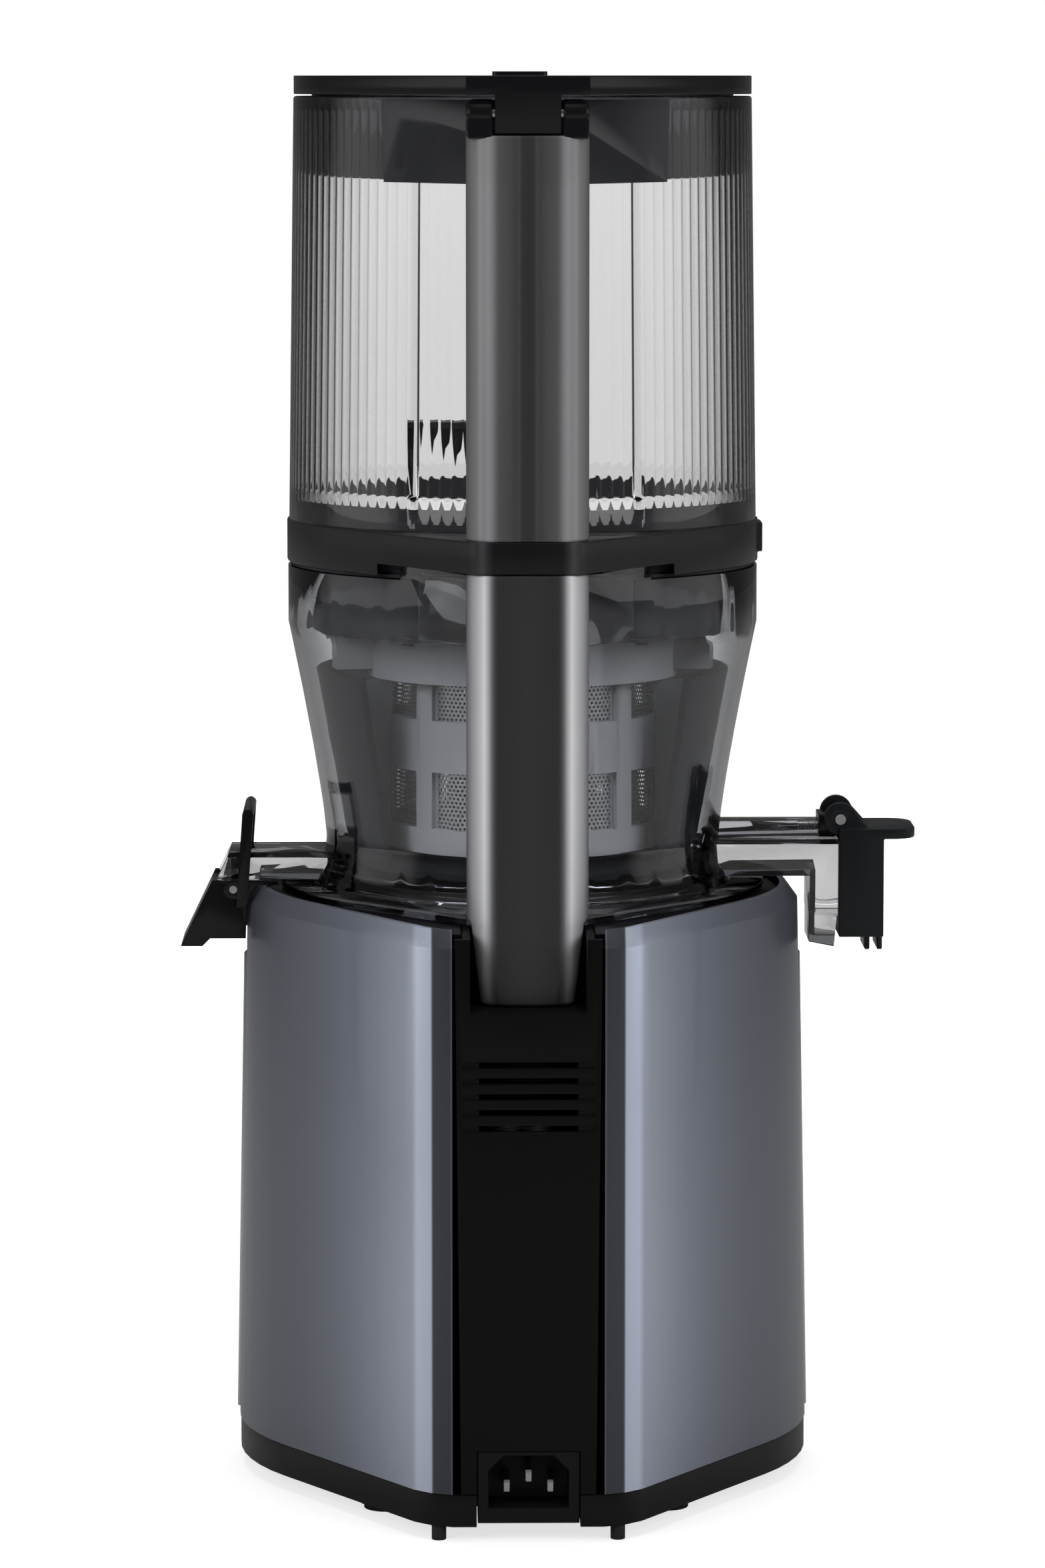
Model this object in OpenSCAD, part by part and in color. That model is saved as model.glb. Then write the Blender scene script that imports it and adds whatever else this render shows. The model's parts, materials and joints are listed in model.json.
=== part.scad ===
// Cold press juicer: a ribbed feed hopper and a juicing chamber on a motor base.
// Millimetres. Z is up from the worktop, the handle side faces -Y and the juice spout +X.
// Every piece is drawn about the drive axis, then the whole is centred on its footprint.

/* [Base] */
// How much wider the base is than the chamber's waist
base_out = 30.1; // [27:0.1:38]
// How far the spine's face lies behind the corner bevels
return_depth = 2.7; // [2.2:0.1:3.2]
// Height of the painted panels' top edge
base_h = 197.2; // [190:0.5:215]
// How much narrower each side of the base is at its top
base_taper = 3.4; // [1:0.2:3.6]
// Angle of the slanting rear walls' normal from the side
wall_turn = 33.6; // [31:0.2:35]
// Half width of the base where a slanting wall ends
wall_half_w = 36.8; // [35:0.2:40]
// Angle of the corner bevel's normal from the side
bevel_turn = 48; // [46:1:50]
// Angle of the returning strip's normal from the side
return_turn = 68; // [66:1:70]
// Half width of the base across the corner bevels
bevel_half_w = 31; // [30:0.2:32]
// Thickness of the painted panels
panel_t = 2.8; // [2:0.1:3]
// Height of the bevel round the panels' top edge
top_bevel_h = 5.5; // [4:0.5:7]
// How far that bevel leans in
top_bevel_in = 4; // [3:0.25:5]
// How far the front cover stands proud of the panels
front_proud = 1.4; // [0.8:0.1:2]
// How far the front cover ends below the panels' top edge
cover_drop = 25.2; // [20:0.2:38]
// Where the front cover meets the side panels, ahead of the axis
front_seam_y = 6; // [4:0.5:12]
// Width of the open seams between outer pieces
seam = 0.3; // [0.2:0.05:0.5]
// Height of the rubber feet
foot_h = 5; // [4:0.5:8]
// Height of the black band round the foot of the base
band_h = 10.3; // [8:0.1:14]
// Wall of the inner housing and the floor tray
shell_t = 2.4; // [2:0.1:3]
// Gap between the panels and the inner housing at the top
housing_gap = 0.4; // [0.3:0.05:0.6]
// Thickness of the top deck
deck_t = 3; // [2.5:0.25:4]
// How far the deck's face lies below the panels' top edge
deck_drop = 2.2; // [1.5:0.1:3]
// Radius of a rubber foot
foot_r = 9; // [7:0.5:11]
// Radius of a rear nub
nub_r = 2.35; // [2:0.05:3]

/* [Spine] */
// Gap between the spine cover and the panels at the top
spine_gap = 0.9; // [0.6:0.1:1.5]
// How much narrower the spine cover is at its foot, each side
spine_taper = 1.8; // [1:0.1:2.4]
// Thickness of the spine cover
spine_t = 2.4; // [2:0.1:3]
// Width of the spine cover beside the lower handle's recess
recess_side = 4.8; // [4:0.1:5.2]
// How far that recess's floor lies below the panels' top edge
recess_drop = 26.1; // [24:0.1:30]
// Gap between the lower handle and the back of its recess
recess_gap = 1.5; // [1:0.1:2.5]
// Number of air slots
vent_count = 5; // [3:1:7]
// Distance between two air slots
vent_pitch = 5.1; // [4.5:0.1:6]
// Height of an air slot
vent_h = 2; // [1.5:0.1:2.5]
// Width of an air slot
vent_w = 31.5; // [26:0.5:36]
// Width of the shallow groove round an air slot
groove_w = 42; // [38:0.5:43]
// Depth of that groove
groove_d = 0.7; // [0.4:0.1:1]
// How far the top air slot lies below the recess
vent_drop = 15.6; // [12:0.1:20]

/* [Power inlet] */
// Width of the inlet body
inlet_w = 32.6; // [31:0.2:33]
// Height of the inlet body
inlet_h = 23.2; // [22:0.2:24]
// Depth of the inlet body
inlet_depth = 24; // [22:0.5:26]
// Height of the inlet body's underside
inlet_z = 6.1; // [5.6:0.1:7]
// Width of the socket
socket_w = 25.8; // [25:0.2:27]
// Height of the socket
socket_h = 17.2; // [16.5:0.1:18]
// Depth of the socket
socket_depth = 16; // [15:0.5:18]
// Distance between the two outer pins
pin_pitch = 14; // [13.5:0.1:14.5]
// How much higher the middle pin sits
pin_rise = 3.3; // [3:0.1:4]
// Width of a pin
pin_w = 2; // [1.8:0.1:2.2]
// Height of a pin
pin_h = 4; // [3.6:0.1:4.4]

/* [Chamber] */
// How much wider the chamber's top ring is than its waist
chamber_flare = 12.5; // [8:0.1:14]
// Gap between the brush frame's foot and the chamber's wall
brush_foot_gap = 6.3; // [4:0.1:8]
// Wall of the clear chamber
chamber_wall = 2.6; // [2.2:0.1:3]
// Height of the chamber from its foot flange to its top edge
chamber_h = 109; // [106:0.5:114]
// Height of the chamber's top ring
ring_h = 19; // [17:0.5:20]
// Gap between the foot flange and the deck's raised rim
flange_gap = 0.5; // [0.3:0.1:1]
// Thickness of the foot flange
flange_t = 3; // [2.5:0.1:3.5]
// Thickness of the chamber's floor
floor_t = 2.5; // [2:0.1:3]
// Height of the hub round the drive shaft
hub_h = 13; // [12:0.5:14]
// Radius of that hub
hub_r = 9.2; // [8.8:0.1:9.3]

/* [Spouts] */
// Half width of the juice tube
juice_half_w = 15; // [14:0.5:16]
// Height of the juice tube
juice_tube_h = 12.4; // [11.5:0.2:14]
// How far the juice tube's mouth stands out past the base
juice_out = 9.4; // [8:0.1:14]
// Height of the juice tube's mouth
mouth_h = 25.6; // [24:0.2:27]
// Length of the deep mouth box
juice_box_len = 9.5; // [8:0.5:9.5]
// Wall of both spouts
spout_wall = 2; // [1.6:0.1:2.4]
// Height of the rail on top of the juice tube
rail_h = 5; // [4.5:0.1:6]
// Half width of that rail
rail_half_w = 6; // [5:0.5:8]
// Half width of the pulp tube
pulp_half_w = 14; // [13:0.5:14.2]
// Height of the pulp tube
pulp_tube_h = 9.2; // [8.5:0.1:11]
// How far the pulp tube's top edge stands out past the base
pulp_out = 2.2; // [2:0.1:5]
// Width of the pulp chute's top edge beyond the pulp tube's mouth
chute_edge = 1.3; // [1:0.1:2]
// Half width of the pulp chute
chute_half_w = 16.5; // [16.3:0.1:18]
// Height of the pulp chute
chute_h = 19.5; // [18:0.5:21]
// Wall of the pulp chute
chute_wall = 1.8; // [1.5:0.1:1.8]
// How far the drip lip reaches below the chute
chute_lip = 2.6; // [2:0.1:4]

/* [Juice cap] */
// Depth of the cap's box along the spout
cap_len = 15; // [13:0.5:17]
// Height of the cap's box
cap_h = 33; // [31:0.5:36]
// Half width of the cap
cap_half_w = 16; // [15.5:0.25:18]
// Wall of the cap
cap_wall = 2; // [1.6:0.1:2.4]
// How far the cap's thumb plate reaches past its box
plate_out = 10.8; // [8:0.2:14]
// Thickness of the thumb plate
plate_t = 3.4; // [3:0.1:4]
// Radius of a hinge ear
ear_r = 5.5; // [5:0.1:6]
// Thickness of a hinge ear
ear_t = 3.6; // [3:0.1:4]
// Half distance between the ears' inner faces
ear_gap = 9; // [8:0.25:10]
// Radius of the cap's hinge pin
cap_pin_r = 1.8; // [1.5:0.1:2]
// Height of the hinge pin above the juice tube's top
cap_pin_rise = 6.3; // [6.2:0.1:7]

/* [Pulp lever] */
// How far the lever's pivot lies inside the pulp tube's mouth
lever_in = 1.4; // [0.8:0.1:1.8]
// Height of the lever's top bar above its pivot
lever_rise = 26.7; // [24:0.5:30]
// How far the lever's arm runs below its pivot
lever_drop = 7; // [5:0.5:8]
// Thickness of the lever's arm
lever_t = 3.7; // [3:0.1:4.5]
// Width of the lever's arm
lever_w = 2.6; // [2:0.1:3]
// Radius of the lever's pivot pins
lever_pin_r = 1.3; // [1.1:0.1:1.6]

/* [Hopper] */
// How much narrower the hopper is at its rim than at its foot
hopper_taper = 2; // [1:0.1:3]
// How much narrower the hopper's foot is than the chamber
hopper_inset = 0.4; // [0:0.1:1]
// Height of the clear hopper wall
hopper_h = 139.9; // [125:1:160]
// Wall of the hopper
hopper_wall = 2.4; // [2:0.1:2.6]
// How much wider the black collar is than the chamber
collar_out = 0.3; // [0.1:0.1:1]
// Height of the collar
collar_h = 14; // [13:0.5:16]
// How far the collar is notched up over the chamber's lugs
collar_notch = 3.7; // [3:0.1:5]
// Gap between the chamber's top edge and the collar
collar_gap = 1.4; // [1:0.1:2]
// Gap between the auger and the feed opening in the hopper floor
feed_gap = 2; // [1.5:0.1:3]
// Gap between the chamber and the ring that plugs into it
plug_gap = 3.8; // [3:0.1:5]
// Depth of that plug ring below the collar
plug_h = 22; // [18:0.5:24]
// Half distance between the two guide ribs inside the hopper
guide_gap = 36; // [32:0.5:40]
// Size of a guide rib
guide_t = 3; // [2.5:0.1:3.5]

/* [Handles] */
// How far the handles' outer face lies inside the spine's face
handle_inset = 13; // [11:0.5:15]
// Half width of the handles
handle_half_w = 19.5; // [19:0.1:20.5]
// Depth of the handles' section
handle_depth = 16; // [14:0.5:17]
// Radius of the handles' outer corners
handle_round = 8; // [6:0.5:9]
// Wall of the hollow handles
handle_wall = 3; // [2.5:0.1:3.5]
// Half width of the lower handle's foot
handle_foot_half_w = 14.9; // [13:0.1:16]
// Gap between the lower handle's foot and its recess's floor
handle_foot_gap = 0.4; // [0.3:0.1:1]
// Height of the bridge between the hopper and the upper handle
bridge_h = 27.4; // [24:0.5:30]
// Half width of that bridge at the hopper
bridge_half_w = 47; // [44:0.5:50]

/* [Lid] */
// Thickness of the lid
lid_t = 6.1; // [5:0.1:8]
// Gap between the lid and the hopper's rim
lid_gap = 0.6; // [0.4:0.1:1]
// Gap between the lid's skirt and the hopper's rim
skirt_gap = 3.6; // [3:0.1:5]
// Height of the lid's skirt
skirt_h = 28; // [20:0.5:30]
// Wall of the skirt
skirt_wall = 2.4; // [2:0.1:3]
// How far the lid's hinge pin lies inside the handles' outer face
hinge_inset = 4.5; // [4.4:0.1:5.5]
// Depth of the hinge pin below the hopper's rim
hinge_drop = 5; // [4.8:0.1:5.4]
// Radius of the lid's hinge pin
hinge_pin_r = 2; // [1.8:0.1:2.3]
// Radius of the hinge knuckles
knuckle_r = 4.4; // [4:0.1:4.5]
// Half width of the lid's hinge block
tongue_half_w = 10.4; // [9:0.1:11]
// Height of the hinge block
tongue_h = 12; // [11:0.5:12.5]
// Half width of the lid's button
button_half_w = 9.4; // [8:0.1:11]
// Length of the button from front to back
button_len = 13; // [11:0.5:15]
// How far the button stands up
button_rise = 1.4; // [1.2:0.1:2]
// How far the button's middle lies inside the lid's front edge
button_inset = 16; // [13:0.5:22]

/* [Drive] */
// Module of the gearbox's gears
gear_module = 1.25; // [1.15:0.05:1.25]
// Teeth of a pinion
pinion_teeth = 15; // [15:1:15]
// Teeth of a wheel
wheel_teeth = 60; // [60:1:60]
// Width of the gears' teeth
gear_w = 9; // [7:0.5:10]
// Play between meshing teeth
gear_play = 0.24; // [0.15:0.01:0.3]
// Radius of the drive shaft
shaft_r = 6; // [5:0.1:6.2]
// Radius of the shaft's six-sided head across its corners
hex_r = 5.8; // [5:0.1:5.9]
// Height of the six-sided head above the chamber's hub
hex_h = 14; // [12:0.5:18]
// Running clearance of shafts in their bores
run_gap = 0.06; // [0.03:0.01:0.09]
// Radius of the motor's casing
motor_r = 42; // [38:0.5:44]
// Height of the air space under the motor
motor_rise = 33; // [24:1:44]
// Wall of the motor's casing
motor_wall = 2; // [1.5:0.1:2.5]
// Radius of the rotor
rotor_r = 24; // [20:0.5:25]
// Wall of the gearbox
gearbox_wall = 2.5; // [2:0.1:3]
// Inner height of the gearbox
gearbox_h = 33; // [32.5:0.5:34]
// Outer radius of a shaft bearing
bearing_r = 13; // [12.5:0.5:14]
// Height of a shaft bearing
bearing_h = 7; // [6:0.5:7]

/* [Auger, strainer and brush] */
// Radius of the auger's screw
auger_r = 42; // [39:0.5:42.5]
// Radius of the auger's core at its foot
auger_core_r = 26; // [24:0.5:28]
// Thickness of the auger's screw
flight_t = 4; // [3:0.5:5]
// Turns of the auger's screw
flight_turns = 1.5; // [1:0.25:2]
// Height of the auger's cutting wing above the hopper floor
wing_rise = 34; // [28:0.5:38]
// Gap between the auger's screw and the strainer
auger_gap = 2; // [1.5:0.1:2.5]
// Wall of the strainer's frame
strainer_wall = 2.5; // [2:0.1:3]
// Width of the ledge round the strainer's top ring
strainer_ledge = 5.5; // [4:0.5:7]
// Thickness of the metal mesh
mesh_t = 0.6; // [0.5:0.1:0.8]
// Gap between the brush frame's top and the chamber's wall
brush_gap = 3.5; // [3:0.1:5]
// How far the brush frame's foot stands out from the strainer
brush_room = 10.5; // [9:0.5:13]
// Wall of the brush frame
brush_wall = 2.6; // [2:0.1:3]
// Angle that each arm of the brush frame spans
brush_arm_span = 78; // [70:1:90]
// Module of the brush's gears
brush_module = 1; // [1:0.05:1]
// Teeth round the auger's foot
foot_teeth = 26; // [26:1:26]
// Teeth of the small wheel that turns the brush
middle_teeth = 22; // [22:1:22]
// Height of the brush's gears
brush_gear_h = 5; // [4:0.25:5.5]

/* [Control knob] */
// Radius of the knob
knob_r = 22; // [18:0.5:24]
// Length of the knob
knob_len = 17; // [14:0.5:19]
// Height of the knob's axis above the worktop
knob_z = 106; // [90:1:120]
// How far the ring behind the knob stands out past the base
dial_stand = 4.7; // [3.6:0.1:7]
// Ridges round the knob
knob_ridges = 24; // [16:1:32]
// Radius of the knob's spindle
spindle_r = 3; // [2.5:0.1:3.5]
// Radius of the metal ring behind the knob
dial_r = 26; // [25:0.5:29]

/* [Hidden] */

// Steps round a drawn outline, and the overrun of a cut
round_steps = 44;
corner_steps = 6;
cut = 1;
join = 0.1;
$fn = 96;

// Radii, worked out from the auger outwards
strainer_in_r = auger_r + auger_gap;
strainer_r = strainer_in_r + strainer_wall;
strainer_ring_r = strainer_r + strainer_ledge;
feed_r = auger_r + feed_gap;
brush_low_r = strainer_r + brush_room;
waist_r = brush_low_r + brush_foot_gap + chamber_wall;
bowl_in_r = waist_r - chamber_wall;
chamber_r = waist_r + chamber_flare;
chamber_in_r = chamber_r - chamber_wall;
plug_r = chamber_in_r - plug_gap;
collar_r = chamber_r + collar_out;
hopper_low_r = chamber_r - hopper_inset;
hopper_in_r = hopper_low_r - hopper_wall;
hopper_top_r = hopper_low_r - hopper_taper;
hopper_mouth_r = hopper_top_r - hopper_wall;
skirt_r = hopper_mouth_r - skirt_gap;
base_r = waist_r + base_out;
front_reach = base_r + dial_stand + seam + knob_len;

// Heights of the base
panel_z = foot_h + band_h + seam;
front_cover_h = base_h - cover_drop;
recess_z = base_h - recess_drop;
housing_inset = panel_t + base_taper + housing_gap;
deck_low_z = base_h - top_bevel_h - seam - deck_t;
deck_z = base_h - deck_drop;
deck_rim_inset = base_taper + top_bevel_in + panel_t + seam;
rim_r = base_r - deck_rim_inset;
rim_w = 4;
flange_r = rim_r - rim_w - flange_gap;
tray_top_z = foot_h + shell_t;
gearbox_z = recess_z - spine_t - seam - gearbox_h - 2 * gearbox_wall;
gearbox_top_z = gearbox_z + gearbox_h + 2 * gearbox_wall;
motor_z = tray_top_z + motor_rise;
motor_h = gearbox_z - seam - motor_z;
stage_1_z = gearbox_z + gearbox_wall + bearing_h - gear_w / 4;
stage_gap = 3;
stage_2_z = stage_1_z + gear_w + stage_gap;

// Heights of the chamber and all it carries
flange_z = deck_z + seam;
floor_z = flange_z + flange_t + cut;
bowl_z = floor_z + floor_t;
chamber_top_z = flange_z + chamber_h;
ring_z = chamber_top_z - ring_h;
bridge_top_z = chamber_top_z + collar_gap + collar_notch - seam;
collar_z = chamber_top_z + collar_gap;
collar_top_z = collar_z + collar_h;
hopper_rim_z = collar_top_z + hopper_h;
lid_z = hopper_rim_z + lid_gap;
hinge_z = hopper_rim_z - hinge_drop;
hub_top_z = bowl_z + hub_h;
wing_top_z = collar_top_z + wing_rise;

// Where the base's walls and bevels end
wall_end_y = (base_r - wall_half_w * cos(wall_turn)) / sin(wall_turn);
bevel_c = wall_half_w * cos(bevel_turn) + wall_end_y * sin(bevel_turn);
bevel_end_y = (bevel_c - bevel_half_w * cos(bevel_turn)) / sin(bevel_turn);
return_c = bevel_half_w * cos(return_turn) + bevel_end_y * sin(return_turn);
base_back = bevel_end_y + return_depth;
return_half_w = (return_c - base_back * sin(return_turn)) / cos(return_turn);
spine_half_w = return_half_w - spine_gap;
spine_low_half_w = spine_half_w - spine_taper;
recess_half_w = spine_half_w - recess_side;
recess_depth = handle_inset + handle_depth + recess_gap;
handle_back = base_back - handle_inset;
hinge_back = handle_back - hinge_inset;

// How far the spouts reach out to the sides
mouth_lean_share = 0.48;
mouth_x = base_r + juice_out;
cap_x = mouth_x + seam;
juice_reach = cap_x + cap_len + plate_out;
pulp_mouth_x = base_r + pulp_out;
lever_x = pulp_mouth_x - lever_in;
chute_lean = (chute_h + chute_lip) * mouth_lean_share;
chute_top_x = pulp_mouth_x + pulp_tube_h * mouth_lean_share + chute_edge;
pulp_reach = chute_top_x + chute_lean;

// Gear train: both stages have the same centre distance
gear_centre = gear_module * (pinion_teeth + wheel_teeth) / 2;
addendum_share = 0.95;
dedendum_share = 1.25;
pressure_turn = 20;
ring_teeth = foot_teeth + 2 * middle_teeth;
middle_centre = brush_module * (foot_teeth + middle_teeth) / 2;

handle_in_y = -handle_back + handle_depth;

// The whole is centred on its footprint
axis_x = (pulp_reach - juice_reach) / 2;
axis_y = (base_back - front_reach) / 2;

// A point where two lines meet, each given by its normal's angle and its distance
function meet(a, c, b, d) =
  [(c * sin(b) - d * sin(a)) / sin(b - a), (d * cos(a) - c * cos(b)) / sin(b - a)];

// Points along an arc
function arc(r, a0, a1, at = [0, 0], n = corner_steps) =
  [for (i = [0:n]) let (a = a0 + (a1 - a0) * i / n) [at[0] + r * cos(a), at[1] + r * sin(a)]];

// The same points mirrored to the other side, in reverse order
function mirrored(points) = [for (i = [len(points) - 1:-1:0]) [-points[i][0], points[i][1]]];

// Corner points of the base's outline on the +X side
function base_corner(inset) = [
  meet(-90, base_back - inset, -return_turn, return_c - inset),
  meet(-return_turn, return_c - inset, -bevel_turn, bevel_c - inset),
  meet(-bevel_turn, bevel_c - inset, -wall_turn, base_r - inset)];

// Outline of the base, drawn in by an inset
function base_outline(inset) = concat(base_corner(inset),
  arc(base_r - inset, -wall_turn, 180 + wall_turn, n = round_steps), mirrored(base_corner(inset)));

// Outline of a round piece with two straight sides that run back to a narrow end
function wedge_outline(r, back, half_w) =
  let (reach = norm([back, half_w]), turn = asin(r / reach) - atan2(half_w, back))
  concat([[half_w, -back]], arc(r, -turn, 180 + turn, n = round_steps), [[-half_w, -back]]);

// Section of a handle with rounded outer corners, drawn in by an inset
function handle_section(half_w, inset = 0) =
  let (x = half_w - handle_round, y = handle_round - handle_back, r = handle_round - inset,
    in_y = handle_in_y + sign(inset) * cut)
  concat([[half_w - inset, in_y], [inset - half_w, in_y]], arc(r, 180, 270, [-x, y]),
    arc(r, 270, 360, [x, y]));

// Rounded rectangle about a centre
function round_box(half_w, half_h, r, at) = let (x = half_w - r, y = half_h - r)
  concat(arc(r, 0, 90, at + [x, y]), arc(r, 90, 180, at + [-x, y]), arc(r, 180, 270, at - [x, y]),
    arc(r, 270, 360, at + [x, -y]));

// Involute function of a pressure angle, in degrees
function involute(a) = tan(a) * 180 / PI - a;

// Half angle of a tooth at a radius
function tooth_half(teeth, m, r, play) =
  let (pitch_r = m * teeth / 2, base_circle = pitch_r * cos(pressure_turn),
    a = acos(min(1, base_circle / r)))
  90 / teeth - play / (4 * pitch_r) * 180 / PI + involute(pressure_turn) - involute(a);

// Outline of a spur gear with its first tooth at the given turn
function gear_points(teeth, m, play, turn) =
  let (pitch_r = m * teeth / 2, tip_r = pitch_r + addendum_share * m,
    root_r = pitch_r - dedendum_share * m, low_r = max(root_r, pitch_r * cos(pressure_turn)))
  [for (i = [0:teeth - 1]) let (a = turn + 360 * i / teeth)
    for (p = [[root_r, -tooth_half(teeth, m, low_r, play)],
      [pitch_r, -tooth_half(teeth, m, pitch_r, play)],
      [tip_r, -tooth_half(teeth, m, tip_r, play)], [tip_r, tooth_half(teeth, m, tip_r, play)],
      [pitch_r, tooth_half(teeth, m, pitch_r, play)], [root_r, tooth_half(teeth, m, low_r, play)]])
    [p[0] * cos(a + p[1]), p[0] * sin(a + p[1])]];

module on_axis() {
  translate([axis_x, axis_y, 0]) children();
}

// A flat outline raised between two heights
module slab(points, z0, z1) {
  translate([0, 0, z0]) linear_extrude(z1 - z0) polygon(points);
}

// An outline in the XZ plane, run between two depths
module upright(points, y0, y1) {
  translate([0, y1, 0]) rotate([90, 0, 0]) linear_extrude(y1 - y0) polygon(points);
}

module disc(r, z0, z1) {
  translate([0, 0, z0]) cylinder(r = r, h = z1 - z0);
}

module cone(r0, r1, z0, z1) {
  translate([0, 0, z0]) cylinder(r1 = r0, r2 = r1, h = z1 - z0);
}

module tube(r_out, r_in, z0, z1) {
  difference() {
    disc(r_out, z0, z1);
    disc(r_in, z0 - cut, z1 + cut);
  }
}

// A box between two corners
module block(low, high) {
  translate(low) cube(high - low);
}

// A box that spreads evenly about the middle, across X or across Y
module across(half_w, y0, y1, z0, z1) {
  block([-half_w, y0, z0], [half_w, y1, z1]);
}

module along(half_w, x0, x1, z0, z1) {
  block([x0, -half_w, z0], [x1, half_w, z1]);
}

// A rod along X or Y through a point, between two places
module rod_x(r, x0, x1, y, z) {
  translate([x0, y, z]) rotate([0, 90, 0]) cylinder(r = r, h = x1 - x0);
}

module rod_y(r, y0, y1, x, z) {
  translate([x, y0, z]) rotate([-90, 0, 0]) cylinder(r = r, h = y1 - y0);
}

// Places shared by several pieces
housing_in_r = base_r - housing_inset - shell_t;
idler_at = [0, -gear_centre, 0];
wheel_gap = 1.5;
wheel_room = gear_module * (wheel_teeth / 2 + addendum_share) + wheel_gap;
gearbox_lid_z = gearbox_top_z - gearbox_wall;
fan_z = motor_z + 2 * motor_wall;
fan_r = motor_r - 3 * motor_wall;
box_x = mouth_x - juice_box_len;
hinge_y = -hinge_back;

// Base: floor tray, feet, housing, painted panels and spine

// Places of the feet, tied to the base's round front and its walls
front_foot_turn = 48;
front_foot_r = base_r - housing_inset - foot_r - shell_t;
rear_foot_x = wall_half_w + foot_r;
rear_foot_y = (base_r - housing_inset - foot_r - rear_foot_x * cos(wall_turn)) / sin(wall_turn);
foot_places = [for (side = [-1, 1]) each [[side * rear_foot_x, -rear_foot_y],
  [side * front_foot_r * cos(front_foot_turn), front_foot_r * sin(front_foot_turn)]]];
foot_stem_r = foot_r / 3;
nub_stem_share = 0.6;
nub_inset = 3;
nub_gap = 28.7;
nub_stem_r = nub_r * nub_stem_share;
nub_y = nub_inset + nub_r - base_back;
screw_r = 1.7;
screw_head_r = 3.2;
screw_head_h = 2;
screw_len = 12;
boss_r = 5;
boss_h = 16;
board_z = tray_top_z + boss_h;
boss_inset = 1;
boss_places = [for (turn = [62, 118, 180, 0]) let (r = housing_in_r - boss_r + boss_inset)
  [r * cos(turn), r * sin(turn)]];

module at_places(places) {
  for (p = places) translate([p[0], p[1], 0]) children();
}

module inlet_notch() {
  across(inlet_w / 2 + seam, -base_back - cut, -base_back + inlet_depth + 2 * shell_t, -cut,
    panel_z + cut);
}

intake_slots = 5;
intake_w = 3;
intake_pitch = 8;

module base_tray() {
  color("#151517") on_axis() difference() {
    union() {
      slab(base_outline(seam), foot_h, foot_h + shell_t);
      difference() {
        slab(base_outline(seam), foot_h, foot_h + band_h);
        slab(base_outline(seam + shell_t), foot_h - cut, foot_h + band_h + cut);
      }
    }
    at_places(foot_places) disc(foot_stem_r, 0, tray_top_z + cut);
    at_places(boss_places) disc(screw_r + seam, 0, tray_top_z + cut);
    for (side = [-1, 1]) translate([side * nub_gap, nub_y, 0]) disc(nub_stem_r, 0, tray_top_z + cut);
    for (i = [0:intake_slots - 1]) translate([(i - (intake_slots - 1) / 2) * intake_pitch, 0, 0])
        across(intake_w / 2, -motor_r / 2, motor_r / 2, 0, tray_top_z + cut);
    inlet_notch();
  }
}

foot_step_h = 2;
foot_step_in = 1.6;
foot_rim_w = 3.4;
foot_cup_r = foot_r - foot_rim_w;
foot_cup_h = 1.2;

module rubber_feet() {
  color("#1b1b1c") on_axis() at_places(foot_places) rotate_extrude() polygon([
    [foot_cup_r, 0], [foot_r - foot_step_in, 0], [foot_r - foot_step_in, foot_step_h],
    [foot_r, foot_step_h], [foot_r, foot_h], [foot_stem_r, foot_h], [foot_stem_r, tray_top_z],
    [0, tray_top_z], [0, foot_cup_h], [foot_cup_r - foot_cup_h, foot_cup_h]]);
}

module rear_nubs() {
  color("#1b1b1c") on_axis() for (side = [-1, 1]) translate([side * nub_gap, nub_y, 0]) {
      disc(nub_r, 0, foot_h);
      disc(nub_stem_r, 0, tray_top_z);
    }
}

module tray_screws() {
  color("silver") on_axis() at_places(boss_places) {
    disc(screw_head_r, foot_h - screw_head_h, foot_h);
    disc(screw_r, foot_h - screw_head_h, foot_h + screw_len);
  }
}

// Room for the lower handle, cut out of the spine, the housing and the deck
module handle_recess(grow) {
  across(recess_half_w + grow, -base_back - cut, -base_back + recess_depth + grow, recess_z - grow,
    base_h + cut);
}

module inner_housing() {
  color("#1a1a1d") on_axis() difference() {
    union() {
      difference() {
        slab(base_outline(housing_inset), tray_top_z, deck_low_z);
        slab(base_outline(housing_inset + shell_t), tray_top_z - cut, deck_low_z + cut);
      }
      at_places(boss_places) disc(boss_r, tray_top_z, board_z);
    }
    at_places(boss_places) disc(screw_r, tray_top_z - cut, tray_top_z + screw_len);
    across(spine_half_w, -base_back - cut, -base_back + housing_inset + 2 * shell_t,
      tray_top_z - cut, deck_low_z + cut);
    handle_recess(spine_t + seam);
    rod_y(spindle_r + seam * 2, 0, base_r, 0, knob_z);
  }
}

// Painted skin of the base between two heights, leaning in by the taper
module skin(z0, z1, proud = 0) {
  lean = 1 - base_taper * (z1 - z0) / (base_h - panel_z) / base_r;
  difference() {
    translate([0, 0, z0]) linear_extrude(z1 - z0, slices = 1, scale = [lean, 1])
      polygon(base_outline(-proud));
    translate([0, 0, z0 - cut]) linear_extrude(z1 - z0 + 2 * cut, slices = 1, scale = [lean, 1])
      polygon(base_outline(panel_t));
  }
}

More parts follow.
